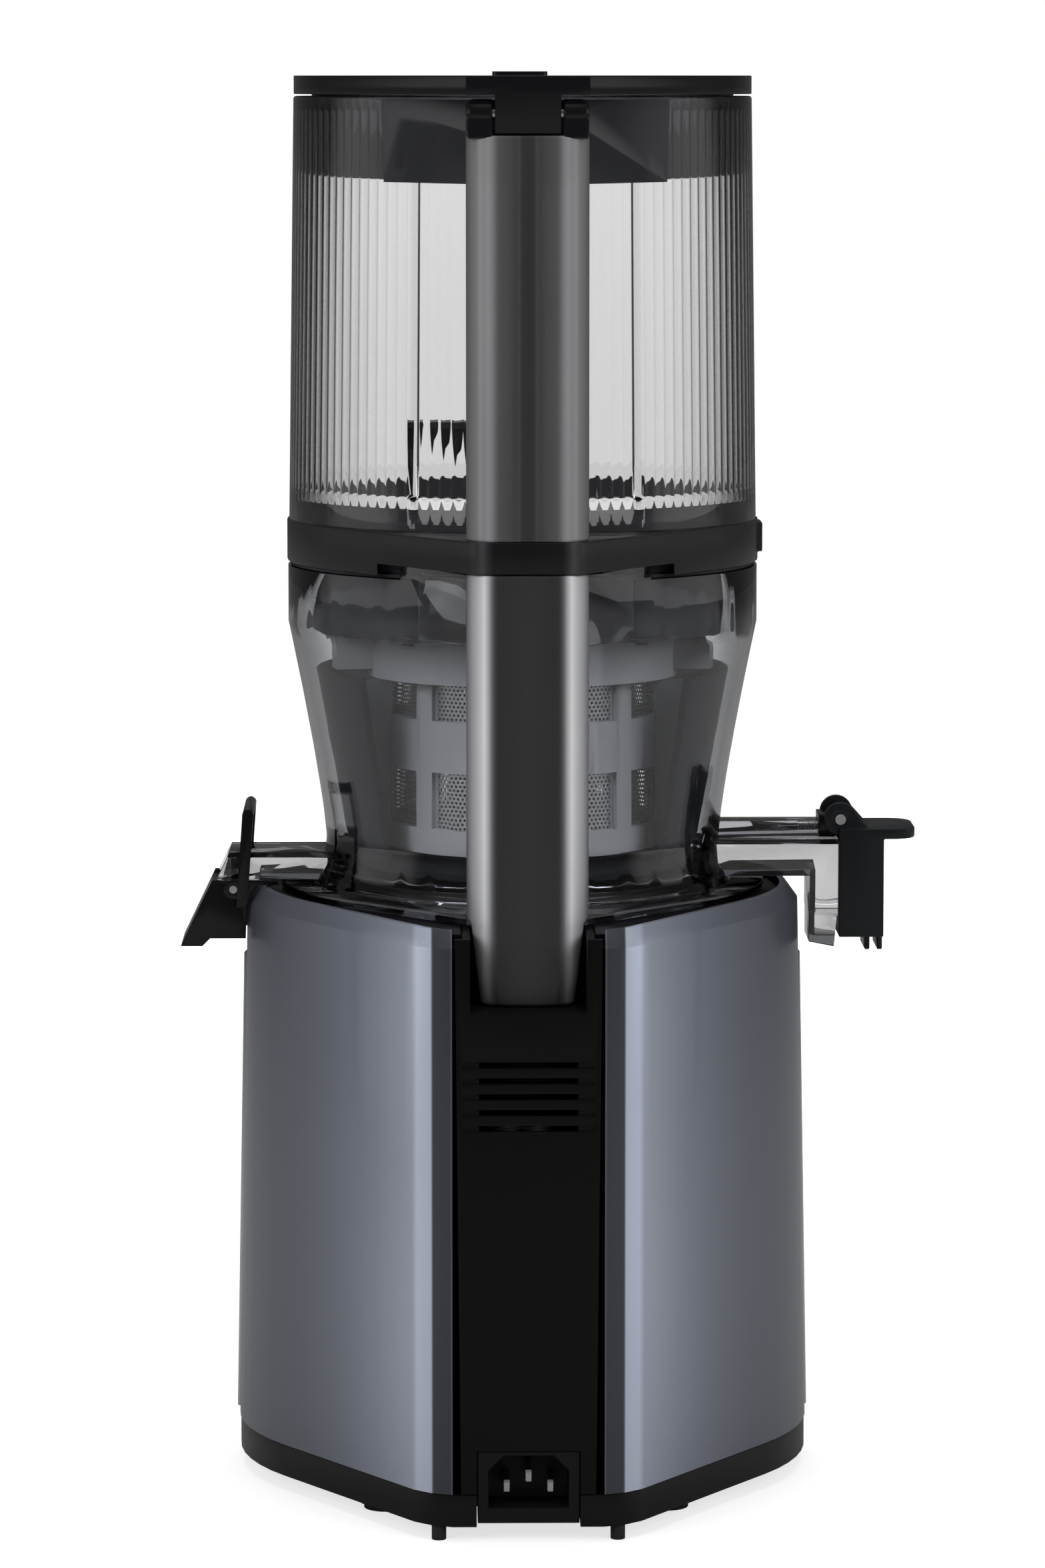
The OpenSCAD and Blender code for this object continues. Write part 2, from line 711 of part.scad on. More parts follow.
// Skin with the bevel round its top edge
module bevelled_skin() {
  wall_h = base_h - top_bevel_h - panel_z;
  lean = 1 - base_taper / base_r;
  in_x = (base_r * lean - top_bevel_in) / (base_r * lean);
  in_y = (base_back - top_bevel_in) / base_back;
  hole_x = (base_r * lean - panel_t - top_bevel_in) / (base_r * lean - panel_t);
  translate([0, 0, panel_z]) difference() {
    union() {
      linear_extrude(wall_h, slices = 1, scale = [lean, 1]) polygon(base_outline(0));
      translate([0, 0, wall_h]) linear_extrude(top_bevel_h, slices = 1, scale = [in_x, in_y])
        scale([lean, 1]) polygon(base_outline(0));
    }
    translate([0, 0, -cut]) linear_extrude(wall_h + cut, slices = 1, scale = [lean, 1])
      polygon(base_outline(panel_t));
    translate([0, 0, wall_h - join]) linear_extrude(top_bevel_h + cut, slices = 1, scale = [hole_x, in_y])
      scale([lean, 1]) polygon(base_outline(panel_t));
  }
}

// Half of the skin, from the spine round to the front seam
module side_panel(side) {
  intersection() {
    bevelled_skin();
    mirror([side > 0 ? 0 : 1, 0, 0])
      block([return_half_w, -base_back - cut, 0], [2 * base_r, front_seam_y, base_h + cut]);
  }
}

module left_panel() {
  color("#757b88") on_axis() side_panel(-1);
}

module right_panel() {
  color("#757b88") on_axis() side_panel(1);
}

module front_cover() {
  color("#b9bcc2") on_axis() difference() {
    intersection() {
      skin(panel_z, front_cover_h, front_proud);
      across(2 * base_r, front_seam_y + seam, 2 * base_r, 0, base_h);
    }
    rod_y(spindle_r + seam * 2, 0, base_r + front_proud + cut, 0, knob_z);
  }
}

module front_crown() {
  color("#757b88") on_axis() intersection() {
    bevelled_skin();
    across(2 * base_r, front_seam_y + seam, 2 * base_r, front_cover_h + seam, base_h + cut);
  }
}

// Outline of the spine cover, with the handle recess left open at the top
spine_top_z = base_h - deck_drop - seam;
spine_points = [[spine_low_half_w, panel_z], [spine_half_w, spine_top_z],
  [recess_half_w, spine_top_z], [recess_half_w, recess_z], [-recess_half_w, recess_z],
  [-recess_half_w, spine_top_z], [-spine_half_w, spine_top_z], [-spine_low_half_w, panel_z]];

module spine_cover() {
  color("#141416") on_axis() difference() {
    union() {
      upright(spine_points, -base_back + seam, -base_back + seam + spine_t);
      difference() {
        handle_recess(spine_t);
        handle_recess(0);
        across(base_r, -base_back - 2 * cut, -base_back + seam, recess_z - base_h, base_h + 2 * cut);
        across(base_r, -base_back - cut, 0, spine_top_z, base_h + 2 * cut);
      }
    }
    for (i = [0:vent_count - 1]) translate([0, 0, recess_z - vent_drop - i * vent_pitch]) {
      across(vent_w / 2, -base_back, -base_back + spine_t + cut, -vent_h, 0);
      across(groove_w / 2, -base_back, -base_back + seam + groove_d, -vent_h, 0);
    }
    across(inlet_w / 2 + seam, -base_back - cut, -base_back + spine_t + cut, panel_z - cut,
      inlet_z + inlet_h + seam);
  }
}

// Top deck: a stepped plate with a boss for the drive shaft
seat_h = 0.8;
deck_well_r = 58;
deck_boss_r = bearing_r + shell_t;
pillar_r = 5;
pillar_turn = 36;
pillar_places = [for (side = [-1, 1], y = [1, -1]) [side * wheel_room * cos(pillar_turn),
  y * wheel_room * sin(pillar_turn) + min(y, 0) * gear_centre]];
rim_low_turn = 14;
rim_h = 1.6;

module top_deck() {
  color("#1c1c1f") on_axis() difference() {
    union() {
      slab(base_outline(housing_inset), deck_low_z, deck_low_z + deck_t);
      slab(base_outline(deck_rim_inset), deck_low_z + deck_t - cut, deck_z);
      disc(deck_boss_r, deck_low_z - bearing_h, deck_z);
      at_places(pillar_places) disc(pillar_r, gearbox_top_z + seam, deck_low_z + cut);
      intersection() {
        slab(base_outline(deck_rim_inset), deck_z - cut, deck_z + rim_h);
        difference() {
          across(base_r, rim_r * sin(rim_low_turn), base_r, deck_z - cut, base_h + deck_t);
          disc(rim_r - rim_w, 0, 2 * base_h);
        }
      }
    }
    disc(shaft_r + seam * 2, gearbox_top_z, base_h);
    disc(bearing_r, deck_low_z - bearing_h - cut, deck_low_z);
    tube(deck_well_r, deck_boss_r, deck_z - seat_h, deck_z + cut);
    handle_recess(spine_t + seam);
  }
}

// Power inlet

socket_top_wall = 1.1;
socket_z = inlet_z + inlet_h - socket_top_wall - socket_h;
socket_round = 2.5;
inlet_set_back = 0.6;
inlet_y = -base_back + seam + inlet_set_back;
inlet_flange = 2.2;
inlet_tail = 6;
pin_gap = 1.6;
pin_len = socket_depth - pin_gap;
pin_z = socket_z + socket_h / 2 - pin_rise / 2;

module power_inlet() {
  color("#101012") on_axis() difference() {
    union() {
      across(inlet_w / 2, inlet_y, inlet_y + inlet_depth - inlet_tail, inlet_z, inlet_z + inlet_h);
      across(inlet_w / 2 - inlet_flange, inlet_y, inlet_y + inlet_depth, inlet_z + inlet_flange,
        inlet_z + inlet_h - inlet_flange);
    }
    upright([[-socket_w / 2, socket_z], [socket_w / 2, socket_z],
      [socket_w / 2, socket_z + socket_h - 2 * socket_round],
      [socket_w / 2 - 2 * socket_round, socket_z + socket_h],
      [-socket_w / 2 + 2 * socket_round, socket_z + socket_h],
      [-socket_w / 2, socket_z + socket_h - 2 * socket_round]], inlet_y - cut, inlet_y + socket_depth);
  }
}

module inlet_pins() {
  color("silver") on_axis() for (i = [-1:1])
    translate([i * pin_pitch / 2, inlet_y + socket_depth - pin_len, pin_z + (i == 0 ? pin_rise : 0)])
      translate([-pin_w / 2, 0, -pin_h / 2]) cube([pin_w, pin_len, pin_h]);
}

// Motor, under the gearbox and in line with the drive shaft

motor_shaft_r = 5;
stator_gap = 0.8;
lamination_share = 0.5;
fan_blades = 9;
fan_h = 10;
fan_blade_t = 2;
motor_end_gap = 14;
casing_slots = 8;
casing_slot_w = 8;

module motor_casing() {
  color("#8d9095") on_axis() difference() {
    disc(motor_r, motor_z, motor_z + motor_h);
    disc(motor_r - motor_wall, motor_z + motor_wall, motor_z + motor_h - motor_wall);
    disc(motor_shaft_r + seam * 2, motor_z - cut, motor_z + motor_h + cut);
    for (i = [0:casing_slots - 1]) rotate([0, 0, 360 * i / casing_slots])
      along(casing_slot_w / 2, motor_r - 2 * motor_wall, motor_r + cut, motor_z + motor_wall + cut,
        motor_z + motor_wall + fan_h);
  }
}

stator_z = motor_z + motor_end_gap + fan_h;
stator_h = (motor_h - 2 * motor_end_gap) * lamination_share + motor_end_gap;

module motor_stator() {
  color("#b0713c") on_axis() difference() {
    disc(motor_r - motor_wall, stator_z, stator_z + stator_h);
    disc(rotor_r + stator_gap, stator_z - cut, stator_z + stator_h + cut);
  }
}

module motor_rotor() {
  color("#9a9ca0") on_axis() tube(rotor_r, motor_shaft_r, stator_z, stator_z + stator_h);
}

module motor_shaft() {
  color("silver") on_axis() {
    disc(motor_shaft_r, motor_z + motor_wall + seam, stage_1_z);
    slab(gear_points(pinion_teeth, gear_module, gear_play, -90 + 180 / pinion_teeth),
      stage_1_z, stage_1_z + gear_w);
  }
}

module cooling_fan() {
  color("#26272b") on_axis() difference() {
    union() {
      disc(motor_shaft_r * 2, fan_z, fan_z + fan_h);
      disc(fan_r, fan_z, fan_z + motor_wall);
      for (i = [0:fan_blades - 1]) rotate([0, 0, 360 * i / fan_blades])
        along(fan_blade_t / 2, motor_shaft_r + cut, fan_r - cut, fan_z + cut, fan_z + fan_h - cut);
    }
    disc(motor_shaft_r, motor_z, motor_z + motor_h);
  }
}

// Gearbox

axle_r = 4;

// Outline of the gearbox round its two wheels
module gearbox_body(grow, z0, z1) {
  disc(wheel_room + grow, z0, z1);
  translate(idler_at) disc(wheel_room + grow, z0, z1);
  across(wheel_room + grow, -gear_centre, 0, z0, z1);
}

module gearbox_case() {
  color("#3a3c41") on_axis() difference() {
    gearbox_body(gearbox_wall, gearbox_z, gearbox_lid_z - seam);
    gearbox_body(0, gearbox_z + gearbox_wall, gearbox_top_z);
    disc(motor_shaft_r + seam, gearbox_z - cut, gearbox_z + gearbox_wall + cut);
    translate(idler_at) disc(axle_r, gearbox_z - cut, gearbox_z + gearbox_wall + cut);
  }
}

module gearbox_cover() {
  color("#46484e") on_axis() difference() {
    union() {
      gearbox_body(gearbox_wall, gearbox_lid_z, gearbox_top_z);
      disc(deck_boss_r, gearbox_top_z - cut, gearbox_top_z + bearing_h);
    }
    disc(bearing_r, gearbox_top_z, gearbox_top_z + bearing_h + cut);
    disc(shaft_r + seam * 2, gearbox_lid_z - cut, gearbox_top_z + cut);
    translate(idler_at) disc(axle_r, gearbox_lid_z - cut, gearbox_top_z + cut);
  }
}

module idler_axle() {
  color("silver") on_axis() translate(idler_at) disc(axle_r, gearbox_z, gearbox_top_z);
}

module idler_gear() {
  color("#d9d6cc") on_axis() translate(idler_at) difference() {
    union() {
      slab(gear_points(wheel_teeth, gear_module, gear_play, 90), stage_1_z, stage_1_z + gear_w - seam);
      slab(gear_points(pinion_teeth, gear_module, gear_play, 90 + 180 / pinion_teeth),
        stage_1_z + gear_w - seam, stage_2_z + gear_w);
    }
    disc(axle_r + run_gap, stage_1_z - cut, stage_2_z + gear_w + cut);
  }
}

module output_gear() {
  color("#d9d6cc") on_axis() difference() {
    slab(gear_points(wheel_teeth, gear_module, gear_play, -90), stage_2_z, stage_2_z + gear_w);
    disc(shaft_r, stage_2_z - cut, stage_2_z + gear_w + cut);
  }
}

module drive_shaft() {
  color("silver") on_axis() {
    disc(shaft_r, stage_2_z, hub_top_z);
    translate([0, 0, hub_top_z - cut]) cylinder(r = hex_r, h = hex_h + cut, $fn = 6);
  }
}

module shaft_bearings() {
  color("#c5c8cc") on_axis() for (z = [gearbox_top_z, deck_low_z - bearing_h])
    tube(bearing_r, shaft_r + run_gap, z, z + bearing_h);
}

seal_h = 3;
seal_lip_w = 2.4;
seal_lip_h = 0.9;

module shaft_seal() {
  color("#3b3b3e") on_axis() difference() {
    union() {
      disc(shaft_r + seam * 2, deck_z - seal_h, deck_z);
      disc(shaft_r + seal_lip_w, deck_z, deck_z + seal_lip_h);
    }
    disc(shaft_r + run_gap, deck_z - seal_h - cut, deck_z + seal_h);
  }
}

// Controls on the front

board_t = 1.6;
board_half_w = 28;
board_h = 62;
board_gap = 12;
board_y = motor_r + board_gap;
board_part_shares = [[-0.64, 0.2, 0.13, 0.15], [0.08, 0.26, 0.2, 0.12], [0.64, 0.65, 0.14, 0.16],
  [-0.5, 0.7, 0.16, 0.1]];
switch_r = 11;
switch_len = housing_in_r - board_y - board_t;
ledge_h = 6;
knob_shaft_len = switch_len / 2;

module control_board() {
  color("#1f5b3a") on_axis() {
    across(board_half_w, board_y, board_y + board_t, board_z, board_z + board_h);
    for (s = board_part_shares) translate([s[0] * board_half_w, 0, board_z + s[1] * board_h])
      across(s[2] * board_h / 2, board_y - s[3] * board_h, board_y, 0, s[2] * board_h);
    for (side = [-1, 1]) translate([side * (board_half_w - ledge_h), 0, 0])
      across(ledge_h / 2, board_y - ledge_h, board_y + ledge_h, tray_top_z, board_z);
  }
}

module rotary_switch() {
  color("#2d2f33") on_axis() difference() {
    union() {
      rod_y(switch_r, housing_in_r - switch_len, housing_in_r - cut, 0, knob_z);
      across(switch_r, board_y, board_y + board_t + ledge_h, board_z + board_h, knob_z);
    }
    rod_y(spindle_r + run_gap, housing_in_r - knob_shaft_len, base_r, 0, knob_z);
  }
}

dial_face_y = front_reach - knob_len - seam;

module dial_ring() {
  color("#c9ccd1") on_axis() difference() {
    rod_y(dial_r, sqrt(pow(base_r, 2) - pow(dial_r, 2)) - panel_t, dial_face_y, 0, knob_z);
    rod_y(spindle_r + seam * 2, 0, base_r + knob_len, 0, knob_z);
    disc(base_r + front_proud + seam, panel_z, base_h);
  }
}

ridge_r = 1.3;
pointer_w = 1.6;
pointer_shares = [0.4, 0.85];
ridge_len_share = 0.7;
ridge_out_share = 0.6;

module control_knob() {
  color("#17181a") on_axis() difference() {
    union() {
      rod_y(knob_r, front_reach - knob_len, front_reach, 0, knob_z);
      rod_y(spindle_r, housing_in_r - knob_shaft_len + seam, front_reach - cut, 0, knob_z);
    }
    for (i = [0:knob_ridges - 1]) translate([0, 0, knob_z]) rotate([0, 360 * (i + 0.5) / knob_ridges, 0])
      rod_y(ridge_r, front_reach - knob_len * ridge_len_share, front_reach + cut,
        knob_r + ridge_r * ridge_out_share, 0);
    across(pointer_w / 2, front_reach - pointer_w / 2, front_reach + cut,
      knob_z + knob_r * pointer_shares[0], knob_z + knob_r * pointer_shares[1]);
  }
}

// Chamber: a clear bowl with a foot flange, two spouts and a bridge to the handle

bore_gap = 1;
waist_rise = 13.7;
flare_w = 4;
flare_h = 5;
side_steps = 8;
side_power = 1.22;
waist_z = floor_z + waist_rise;
tube_lift = 1;
juice_z = floor_z + tube_lift;
juice_top_z = juice_z + juice_tube_h;
mouth_z = juice_top_z - mouth_h;
lip_h = 11;
lip_len = 8.4;
lip_drop = 1.6;
lip_inset = 2.5;
rail_short = 6.1;
rail_end_x = mouth_x - rail_short;
pulp_top_z = floor_z + pulp_tube_h;
drop_inset = 8;
post_r = 3;
seat_turns = [210, 270, 330];
seat_post_r = 29.5;
brush_floor_gap = 0.8;
brush_gear_z = bowl_z + brush_floor_gap;
brush_seat_z = brush_gear_z + brush_gear_h;
brush_rim_w = 4.5;
brush_rim_r = brush_module * ring_teeth / 2 + brush_rim_w;
strainer_z = brush_seat_z + 4 * seam;

function side_points(wall) = [for (i = [0:side_steps]) let (up = i / side_steps)
  [waist_r + pow(up, side_power) * (chamber_r - waist_r) - wall, waist_z + up * (ring_z - waist_z)]];

function reversed(points) = [for (i = [len(points) - 1:-1:0]) points[i]];

// Half of the chamber's outline on its outside, from the flange up
outer_points = concat([[waist_r + flare_w, flange_z], [waist_r + flare_w, flange_z + flange_t],
  [waist_r + flare_w / 5, floor_z + flare_h]], side_points(0), [[chamber_r, chamber_top_z]]);

module bowl_shell() {
  rotate_extrude() polygon(concat( [[shaft_r + bore_gap, floor_z], [waist_r - 2 * chamber_wall, floor_z],
      [waist_r - 2 * chamber_wall, flange_z]],
    outer_points, [[chamber_in_r, chamber_top_z]], reversed(side_points(chamber_wall)),
    [[bowl_in_r, bowl_z], [hub_r, bowl_z], [hub_r, hub_top_z], [shaft_r + bore_gap, hub_top_z]]));
}

// Wedge between the chamber's ring and the handle
bridge_y = sqrt(pow(chamber_in_r, 2) - pow(bridge_half_w, 2));

module wedge(half_w, inset, z0, z1) {
  slab([[half_w - inset, -bridge_y], [handle_half_w - inset, handle_in_y],
    [-handle_half_w + inset, handle_in_y], [-half_w + inset, -bridge_y]], z0, z1);
}

// Ways through the chamber's wall into the two spouts
module juice_way() {
  along(juice_half_w - spout_wall, waist_r - 2 * chamber_wall, mouth_x + cut,
    juice_z + spout_wall, juice_top_z - spout_wall);
}

module pulp_way() {
  along(pulp_half_w - spout_wall, -pulp_reach, -waist_r + 2 * chamber_wall, floor_z + spout_wall,
    pulp_top_z - spout_wall);
}

module juice_chamber() {
  color("#9a9ca3", 0.5) on_axis() difference() {
    union() {
      bowl_shell();
      difference() {
        slab(wedge_outline(flange_r, -handle_in_y, handle_half_w), flange_z, flange_z + flange_t);
        disc(bowl_in_r, flange_z - cut, flange_z + flange_t + cut);
      }
      difference() {
        wedge(bridge_half_w, 0, ring_z, bridge_top_z);
        wedge(bridge_half_w, 2 * chamber_wall, ring_z - cut, bridge_top_z - chamber_wall);
        disc(chamber_r - chamber_wall / 2, ring_z - cut, bridge_top_z + cut);
      }
      translate([0, middle_centre, 0]) disc(post_r, bowl_z - cut, brush_seat_z + seam);
      for (turn = seat_turns) rotate([0, 0, turn]) translate([seat_post_r, 0, 0])
        disc(post_r, bowl_z - cut, strainer_z);
    }
    juice_way();
    pulp_way();
    disc(collar_r + 2 * seam, chamber_top_z, bridge_top_z + cut);
  }
}

// What the chamber's wall and flange take from the spouts' roots
module chamber_body() {
  disc(flange_r, flange_z - cut, flange_z + flange_t);
  rotate_extrude() polygon(concat([[0, flange_z]], outer_points, [[0, chamber_top_z]]));
}

module juice_spout() {
  color("#9a9ca3", 0.5) on_axis() difference() {
    union() {
      along(juice_half_w, bowl_in_r, mouth_x, juice_z, juice_top_z);
      along(juice_half_w, box_x, mouth_x, mouth_z, juice_top_z);
      upright([[box_x, mouth_z + cut], [box_x, mouth_z - lip_h + lip_drop],
        [box_x + lip_len, mouth_z - lip_h],
        [mouth_x, mouth_z + cut]], -juice_half_w + lip_inset, juice_half_w - lip_inset);
      along(rail_half_w, bowl_in_r, rail_end_x, juice_top_z - cut, juice_top_z + rail_h);
    }
    chamber_body();
    juice_way();
    along(juice_half_w - spout_wall, box_x + spout_wall, mouth_x + cut,
      mouth_z + spout_wall, juice_top_z - spout_wall);
    along(juice_half_w - lip_inset - spout_wall, box_x + spout_wall, mouth_x + cut,
      mouth_z - lip_h + lip_drop + spout_wall, juice_top_z - spout_wall);
    rod_x(bracket_bore_r, rail_end_x - bracket_len, rail_end_x + cut, 0, juice_top_z + rail_h / 2);
  }
}

module pulp_spout() {
  color("#9a9ca3", 0.5) on_axis() difference() {
    union() {
      along(pulp_half_w, -pulp_mouth_x, -waist_r + chamber_wall, floor_z, pulp_top_z);
      upright([[-pulp_mouth_x + cut, pulp_top_z], [-pulp_mouth_x, pulp_top_z],
        [-pulp_mouth_x - pulp_tube_h * mouth_lean_share, floor_z], [-pulp_mouth_x + cut, floor_z]],
        -pulp_half_w, pulp_half_w);
    }
    chamber_body();
    pulp_way();
    along(pulp_half_w - spout_wall, -pulp_reach, -base_r + drop_inset, floor_z - cut,
      pulp_top_z - spout_wall);
  }
}

bracket_bore_r = 1.6;
bracket_len = 7;

// Section of a handle with its channel open towards the machine
module handle_bar(z0, z1) {
  difference() {
    slab(handle_section(handle_half_w), z0, z1);
    slab(handle_section(handle_half_w, handle_wall), z0 - cut, z1 + cut);
  }
}

handle_foot_z = recess_z + handle_foot_gap;
neck_half_w = recess_half_w - 2 * seam;
handle_cap_t = 4;

module lower_handle() {
  color("#2b2b2f", 0.8) on_axis() {
    handle_bar(base_h + cut, bridge_top_z - handle_cap_t);
    slab(handle_section(handle_half_w), bridge_top_z - handle_cap_t, bridge_top_z);
    slab(handle_section(handle_half_w), base_h + cut, base_h + cut + flange_t);
    hull() {
      slab(handle_section(handle_foot_half_w), handle_foot_z, handle_foot_z + cut);
      slab(handle_section(neck_half_w), base_h, base_h + cut);
    }
  }
}

ring_seal_h = 3;

module chamber_seal() {
  color("#55565a") on_axis()
    tube(shaft_r + bore_gap, shaft_r + run_gap, hub_top_z - ring_seal_h - cut, hub_top_z - cut);
}

// Pulp chute under the pulp tube, and the lever that opens its gate

chute_top_z = floor_z;
chute_root = 14;
slant_share = 1.1;
chute_z = chute_top_z - chute_h;
chute_in_x = base_r - chute_root;
chute_foot_x = pulp_reach - (chute_lip + cut) * 2;
base_clear = 1.2;
gate_room = 1;
lever_z = chute_top_z - lever_pin_r * 2;
lever_foot_z = lever_z - lever_drop + cut;
lever_top_z = lever_z + lever_rise;

// Room that the base takes at its top, grown by a clearance
module base_room() {
  top_r = base_r - base_taper + base_clear;
  rotate_extrude() polygon([[0, recess_z], [top_r + front_proud / 2, recess_z], [top_r,
    base_h - top_bevel_h + seam], [top_r - top_bevel_in, base_h + seam * 2], [0, base_h + seam * 2]]);
}

module chute_outline(inset, y) {
  upright([[-chute_in_x, chute_top_z], [-chute_top_x + inset, chute_top_z],
    [-pulp_reach + inset, chute_z - chute_lip], [-chute_foot_x + inset, chute_z - chute_lip],
    [-chute_foot_x + chute_lip + inset, chute_z], [-chute_in_x, chute_z]], -y, y);
}

module pulp_chute() {
  color("#161618") on_axis() difference() {
    chute_outline(0, chute_half_w);
    intersection() {
      translate([0, 0, -cut]) chute_outline(chute_wall * slant_share, chute_half_w - chute_wall);
      along(chute_half_w, -pulp_reach, -chute_in_x, chute_z - 2 * chute_lip, chute_top_z);
    }
    along(pulp_half_w - chute_wall, -chute_top_x + chute_wall, 0, chute_z, chute_top_z + cut);
    along(pulp_half_w - chute_wall, -pulp_reach, 0, chute_top_z - gate_room, chute_top_z + cut);
    along(chute_half_w - chute_wall, -pulp_reach + 2 * chute_wall, 0, chute_z - 2 * chute_lip,
      chute_z + cut);
    base_room();
    rod_y(lever_pin_r + run_gap, -chute_half_w - cut, chute_half_w + cut, -lever_x, lever_z);
  }
}

arm_y = chute_half_w + seam * 2;
arm_end_y = arm_y + lever_w;
arm_in = 1;
arm_out = 4.7;
arm_lean = 2.1;
bar_x = -lever_x + arm_in + arm_lean;
arm_x = -lever_x + arm_out;
arm_round = 1.5;
lever_boss_r = 3.2;

// One arm of the lever with its boss
module lever_arm() {
  difference() {
    union() {
      upright([[-lever_x + arm_in, lever_foot_z], [arm_x - arm_round, lever_foot_z],
        [arm_x, lever_foot_z + arm_round], [arm_x + arm_lean, lever_top_z - arm_round],
        [arm_x + arm_lean - arm_round, lever_top_z], [bar_x + arm_round, lever_top_z],
        [bar_x, lever_top_z - arm_round]], arm_y, arm_end_y);
      rod_y(lever_boss_r, arm_y, arm_end_y, -lever_x, lever_z);
    }
    rod_y(lever_pin_r, arm_y - cut, arm_end_y + cut, -lever_x, lever_z);
  }
}

module pulp_lever() {
  color("#131315") on_axis() {
    lever_arm();
    mirror([0, 1, 0]) lever_arm();
    rod_y(lever_t / 2, -arm_end_y + seam, arm_end_y - seam,
      bar_x + lever_t / 2, lever_top_z - lever_t / 2);
  }
}

gate_t = 1.5;
gate_half_w = pulp_half_w - spout_wall - 2 * seam;

module pulp_gate() {
  color("#202022") on_axis() difference() {
    union() {
      rod_y(2 * lever_pin_r, -gate_half_w, gate_half_w, -lever_x, lever_z);
      along(gate_half_w, -lever_x - gate_t / 2, -lever_x + gate_t / 2, lever_z,
        pulp_top_z - spout_wall - 2 * seam);
    }
    rod_y(lever_pin_r, -gate_half_w - cut, gate_half_w + cut, -lever_x, lever_z);
  }
}

module lever_shaft() {
  color("silver") on_axis() rod_y(lever_pin_r, -arm_end_y - seam, arm_end_y + seam, -lever_x, lever_z);
}

// Juice cap, hinged over the juice tube's mouth

cap_pin_out = 0.9;
cap_pin_x = mouth_x + cap_pin_out;
cap_pin_z = juice_top_z + cap_pin_rise;
plate_z = juice_top_z;
cap_z = plate_z - cap_h;
plate_top_z = plate_z + plate_t;
plate_round = 8;
ear_rim_w = 2.1;
ear_y = ear_gap + ear_t;
barrel_r = ear_r - ear_rim_w;
ear_shares = [0.9, 0.4];
rib_share = 0.6;
rib_len = 5;
rib_t = 1.8;
rib_half_w = 10;

module cap_ear() {
  difference() {
    union() {
      rod_y(ear_r, ear_gap, ear_y, cap_pin_x, cap_pin_z);
      upright([[cap_pin_x, plate_z], [cap_pin_x + ear_r + 2 * cap_wall, plate_z],
        [cap_pin_x + ear_r + 2 * cap_wall, plate_top_z],
        [cap_pin_x + ear_r * ear_shares[0], cap_pin_z + ear_r * ear_shares[1]],
        [cap_pin_x, cap_pin_z]], ear_gap, ear_y);
    }
    rod_y(cap_pin_r + run_gap, ear_gap - cut, ear_y + cut, cap_pin_x, cap_pin_z);
  }
}

module juice_cap() {
  color("#232427") on_axis() {
    difference() {
      union() {
        along(cap_half_w, cap_x, cap_x + cap_len, cap_z, plate_z + cut);
        slab(concat([[cap_x, cap_half_w], [cap_x, -cap_half_w]],
          arc(plate_round, -90, 0, [juice_reach - plate_round, plate_round - cap_half_w]),
          arc(plate_round, 0, 90, [juice_reach - plate_round, cap_half_w - plate_round])),
          plate_z, plate_top_z);
        for (x = [cap_x + cap_len * rib_share, cap_x + cap_len - rib_t])
          along(rib_half_w, x, x + rib_t, cap_z - rib_len, cap_z + cut);
      }
      along(cap_half_w - cap_wall, cap_x - cut, cap_x + cap_len - cap_wall, cap_z + cap_wall,
        plate_z - cap_wall);
      along(ear_gap, cap_x - cut, cap_pin_x + barrel_r + 2 * seam, plate_z - cap_wall, plate_top_z + cut);
    }
    cap_ear();
    mirror([0, 1, 0]) cap_ear();
  }
}

seal_t = 4;
seal_post_r = 3;

module cap_seal() {
  color("#6a6c70") on_axis() {
    along(cap_half_w - cap_wall - seam, cap_x, cap_x + seal_t, cap_z + cap_wall + seam,
      plate_z - 2 * cap_wall - seam);
    rod_x(seal_post_r, cap_x + seal_t - seam, cap_x + cap_len - cap_wall, 0, plate_z - cap_h / 2);
  }
}

module cap_bracket() {
  color("#141416") on_axis() difference() {
    union() {
      along(ear_gap - seam, rail_end_x, cap_pin_x - barrel_r / 2, juice_top_z, cap_pin_z + cut);
      rod_y(barrel_r, -ear_gap + seam, ear_gap - seam, cap_pin_x, cap_pin_z);
    }
    rod_y(cap_pin_r, -ear_gap - cut, ear_gap + cut, cap_pin_x, cap_pin_z);
    rod_x(bracket_bore_r, rail_end_x - cut, rail_end_x + barrel_r, 0, juice_top_z + rail_h / 2);
  }
}

module cap_hinge_pin() {
  color("silver") on_axis() rod_y(cap_pin_r, -ear_y - seam, ear_y + seam,
    cap_pin_x, cap_pin_z);
}

module bracket_screw() {
  color("silver") on_axis()
    rod_x(bracket_bore_r, rail_end_x - bracket_len + seam, rail_end_x + barrel_r - seam, 0,
      juice_top_z + rail_h / 2);
}

// Strainer, brush and auger

strain_top_z = collar_z - plug_h - seam;
strainer_h = strain_top_z - strainer_z;
strainer_floor_r = auger_core_r + flight_t;
window_count = 8;
window_shares = [[0.14, 0.39], [0.62, 0.79]];
window_w_share = 0.62;
ring_share = 0.79;
tab_reach = 12;
tab_w = 9;
tab_h = 13;
tab_turns = [12, 168, 192, 348];

